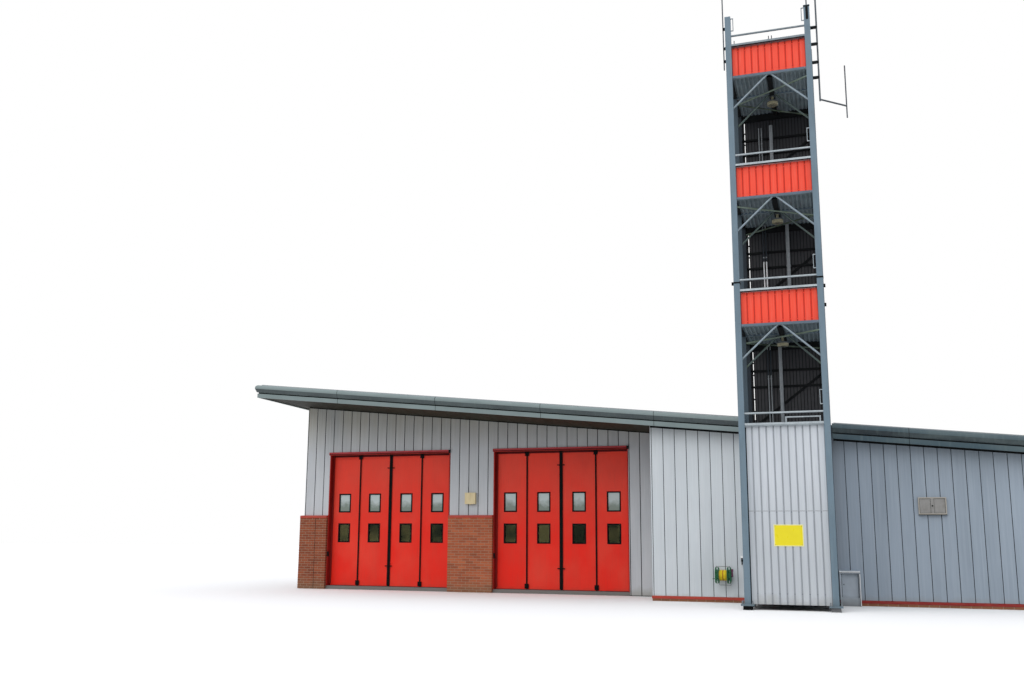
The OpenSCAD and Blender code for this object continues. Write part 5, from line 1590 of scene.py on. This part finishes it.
@dataclass
class Fittings:
    """Screws, rims and seams of the plate and the boxes on the walls, with painted highlights and painted shade on the
    boxes.
    """

    plate_rim: float = 0.018
    screw_in: float = 0.035
    rim: float = 0.028
    bar: float = 0.070
    seam: float = 0.006
    housing_depth: float = 0.090
    hood: float = 0.075
    cheek: float = 0.040
    cheek_back: float = 0.015
    door_back: float = 0.090
    tap_box_h: float = 0.053

    def plate(self) -> None:
        """Rims the yellow plate and screws it down at its corners."""
        low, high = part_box("notice_plate")
        Piece("plate_rim").rim(
            (low.x, low.y - 0.0015, low.z), (high.x, low.y, high.z), self.plate_rim, self.plate_rim,
        ).done(PLATE_EDGE, "yellow_plate")
        piece = Piece("plate_screws")
        for x in (low.x + self.screw_in, high.x - self.screw_in):
            for z in (low.z + self.screw_in, high.z - self.screw_in):
                piece.rod((x, low.y + 0.001, z), (x, low.y - 0.004, z), 0.018, 16, tip=0.012)
        piece.done(ZINC, "galvanised")

    def cupboard(self) -> None:
        """Gives the inlet cupboard its hinges and lock, its near-white edges, the dark gaps round its door and a
        painted shadow line across the hood's front.
        """
        low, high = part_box("riser_inlet_box")
        piece = Piece("cupboard_ironmongery")
        cheek_y, foot = low.y + self.cheek_back, high.z - self.hood
        door_y, middle = cheek_y + self.door_back, high.x - self.cheek / 2
        x, y = high.x - 0.052, door_y - 0.006
        for z in (low.z + 0.30, high.z - 0.16):
            piece.rod((x, y, z), (x, y, z + 0.06), 0.014)
        x = low.x + 0.09
        piece.rod((x, door_y + 0.001, 0.5), (x, door_y - 0.010, 0.5), 0.034, 20)
        piece.done(ZINC, "galvanised", smooth=True)
        Piece("cupboard_edges").boxes(
            ((low.x, low.y - 0.001, foot + 0.030), (high.x, low.y + 0.004, high.z - 0.016)),
            ((middle, cheek_y - 0.002, 0.01), (high.x - 0.001, cheek_y + 0.002, foot)),
        ).done(WHITE_EDGE_AND_HIGHLIGHT, "cabinet")
        x0, x1, y0, y1 = low.x + self.cheek, high.x - self.cheek, door_y - 0.002, door_y + 0.002
        # The first strip, across the hood's front under its white edge, is a painted shadow line; the others are the
        # gaps round the door
        Piece("cupboard_door_gaps_and_shadow").boxes(
            ((low.x, low.y - 0.001, foot + 0.014), (high.x, low.y + 0.004, foot + 0.026)),
            ((middle - 0.012, cheek_y - 0.002, 0.01), (middle - 0.002, cheek_y + 0.002, foot)),
            ((x1 - 0.014, y0, 0.20), (x1, y1, foot)), ((x0, y0, 0.20), (x0 + 0.010, y1, foot)),
            ((x0, y0, foot - 0.012), (x1, y1, foot)),
        ).done(BLACK_AND_SHADE, "cabinet")

    def housing(self) -> None:
        """Paints a highlight on the housing's frame, shade as dark seams round its two fields and a shadow under its
        foot, and sets its dark lock.
        """
        low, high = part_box("wing_cabinet")
        face, rim = high.y - self.housing_depth, self.rim - 0.004
        Piece("housing_frame_highlight").rim(
            (low.x, face - 0.001, low.z), (high.x, face + 0.003, high.z), rim, rim,
        ).done(LIT_HOUSING_FRAME, "cabinet")
        seam_shade = Piece("housing_painted_shade")
        field_w = (high.x - low.x - self.bar) / 2 - self.rim
        back, (z0, z1) = face + self.rim / 2, (low.z + self.rim, high.z - self.rim)
        for x in (low.x + self.rim, high.x - self.rim - field_w):
            seam_shade.rim((x, back - 0.002, z0), (x + field_w, back + 0.002, z1), self.seam, 0.0)
        seam_shade.box((low.x, face, low.z - 0.012), (high.x, high.y, low.z - 0.001))
        x, z = (low.x + high.x) / 2, (low.z + high.z) / 2
        seam_shade.rod((x, face, z), (x, low.y - 0.001, z), 0.036, 20)
        seam_shade.done(BLACK_AND_SHADE, "cabinet")

    def tap(self) -> None:
        """Covers the tap's box with its white lid and sets the lever on its body."""
        low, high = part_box("outside_tap")
        x, y, z = (low.x + high.x) / 2, high.y - 0.049, high.z - self.tap_box_h
        lid, lever = Piece("tap_lid"), Piece("tap_lever")
        lid.soften(lid.box((low.x - 0.002, y, z), (high.x + 0.002, high.y, high.z + 0.003)), 0.004)
        lever.rod((x, y, z - 0.03), (x, y - 0.018, z - 0.03), 0.012, 10)
        lever.soften(lever.box((x - 0.026, y - 0.022, z - 0.035), (x + 0.026, y - 0.016, z - 0.025)), 0.002)
        lid.done(WHITE_PLASTIC, "cabinet")
        lever.done(ZINC, "galvanised", smooth=True)

    def build(self) -> None:
        """Builds the fittings' small pieces."""
        self.tap()
        self.plate()
        self.cupboard()
        self.housing()


@dataclass
class Studio:
    """Plain floor, soft daylight from above and the camera at the photograph's viewpoint."""

    focal_px: float = 985.79
    yaw: float = 18.199
    pitch: float = 10.167
    roll: float = 0.361
    eye: tuple[float, float, float] = (4.581, -25.492, 1.497)
    middle_px: tuple[float, float] = (512.27, 363.14)
    frame_px: tuple[int, int] = (1024, 681)
    sensor_mm: float = 36.0

    def camera(self) -> None:
        """Sets the camera up as the photograph was taken."""
        yaw, pitch, roll = (math.radians(a) for a in (self.yaw, self.pitch, self.roll))
        ahead = Vector((-math.sin(yaw) * math.cos(pitch), math.cos(yaw) * math.cos(pitch), math.sin(pitch)))
        right = Vector((math.cos(yaw), math.sin(yaw), 0.0))
        up = right.cross(ahead)
        level = math.cos(roll) * right + math.sin(roll) * up
        upright = -math.sin(roll) * right + math.cos(roll) * up
        wide, tall = self.frame_px
        lens = bpy.data.cameras.new("photo_camera")
        lens.sensor_width = self.sensor_mm
        lens.lens = self.focal_px / wide * self.sensor_mm
        lens.shift_x = (wide / 2 - self.middle_px[0]) / wide
        lens.shift_y = (self.middle_px[1] - tall / 2) / wide
        lens.clip_end = 400.0
        made = bpy.data.objects.new("photo_camera", lens)
        turn = Matrix((level, upright, -ahead)).transposed().to_4x4()
        made.matrix_world = Matrix.Translation(Vector(self.eye)) @ turn
        bpy.context.scene.collection.objects.link(made)
        bpy.context.scene.camera = made

    def floor(self) -> None:
        """Lays the pale floor, which the camera sees lighter than the light that it throws back."""
        mesh = bpy.data.meshes.new("studio_floor")
        flat = bmesh.new()
        bmesh.ops.create_grid(flat, x_segments=1, y_segments=1, size=150.0)
        flat.to_mesh(mesh)
        flat.free()
        made = bpy.data.objects.new("studio_floor", mesh)
        bpy.context.scene.collection.objects.link(made)
        finish, tree = new_material("pale_floor")
        tree.nodes.remove(tree.nodes["Principled BSDF"])
        pale = add_node(tree, "BsdfDiffuse", {"Color": linear("#f4f4f2")})
        plain = add_node(tree, "BsdfDiffuse", {"Color": linear("#bcbbb7")})
        set_inputs(tree, tree.nodes["Material Output"], {"Surface": mix_shaders(tree, seen(tree), plain, pale)})
        mesh.materials.append(finish)

    def sky(self) -> None:
        """Lights the station with an even overcast sky, brighter overhead."""
        world = bpy.data.worlds.new("overcast_sky")
        world.use_nodes = True
        tree = world.node_tree
        tree.nodes.clear()
        height = axis(tree, add_node(tree, "TexCoord").outputs["Generated"])
        strength = remap(tree, height, 0.0, 1.0, 0.62, 1.35)
        light = add_node(tree, "Background", {"Color": linear("#f6f8ff"), "Strength": strength})
        white = add_node(tree, "Background", {"Color": (1.0, 1.0, 1.0, 1.0), "Strength": 1.0})
        out = add_node(tree, "OutputWorld", {"Surface": mix_shaders(tree, seen(tree), light, white)})
        out.is_active_output = True
        bpy.context.scene.world = world

    def lamp(self) -> None:
        """Adds one broad, soft lamp high in front, for the faces turned to the camera."""
        light = bpy.data.lights.new("soft_front_light", "SUN")
        light.energy = 0.9
        light.angle = math.radians(60.0)
        light.color = (1.0, 0.985, 0.96)
        made = bpy.data.objects.new("soft_front_light", light)
        made.rotation_euler = Vector((0.35, 0.9, -0.8)).to_track_quat("-Z", "Y").to_euler()
        bpy.context.scene.collection.objects.link(made)

    def build(self) -> None:
        """Sets up the camera, the floor and the light."""
        self.camera()
        self.floor()
        self.sky()
        self.lamp()
        bpy.context.scene.view_settings.view_transform = "Standard"


def dress_nodes() -> None:
    """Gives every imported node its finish."""
    finishes = {name: finish for finish, names in NODES_OF.items() for name in names.split()}
    for name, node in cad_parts.items():
        node.data.materials.clear()
        node.data.materials.append(finishes[name].material())
        logger.info("%s: %s", name, finishes[name].name)


def main() -> None:
    """Builds the studio and every part of the station."""
    logging.basicConfig(level=logging.INFO, format="%(name)s %(message)s")
    Studio().build()
    station = Station()
    dress_nodes()
    for part in (
        Brickwork(station), Cladding(station), Roof(station), Doors(station), Tower(), HoseReel(), Fittings(),
    ):
        part.build()


if __name__ == "__main__":
    main()
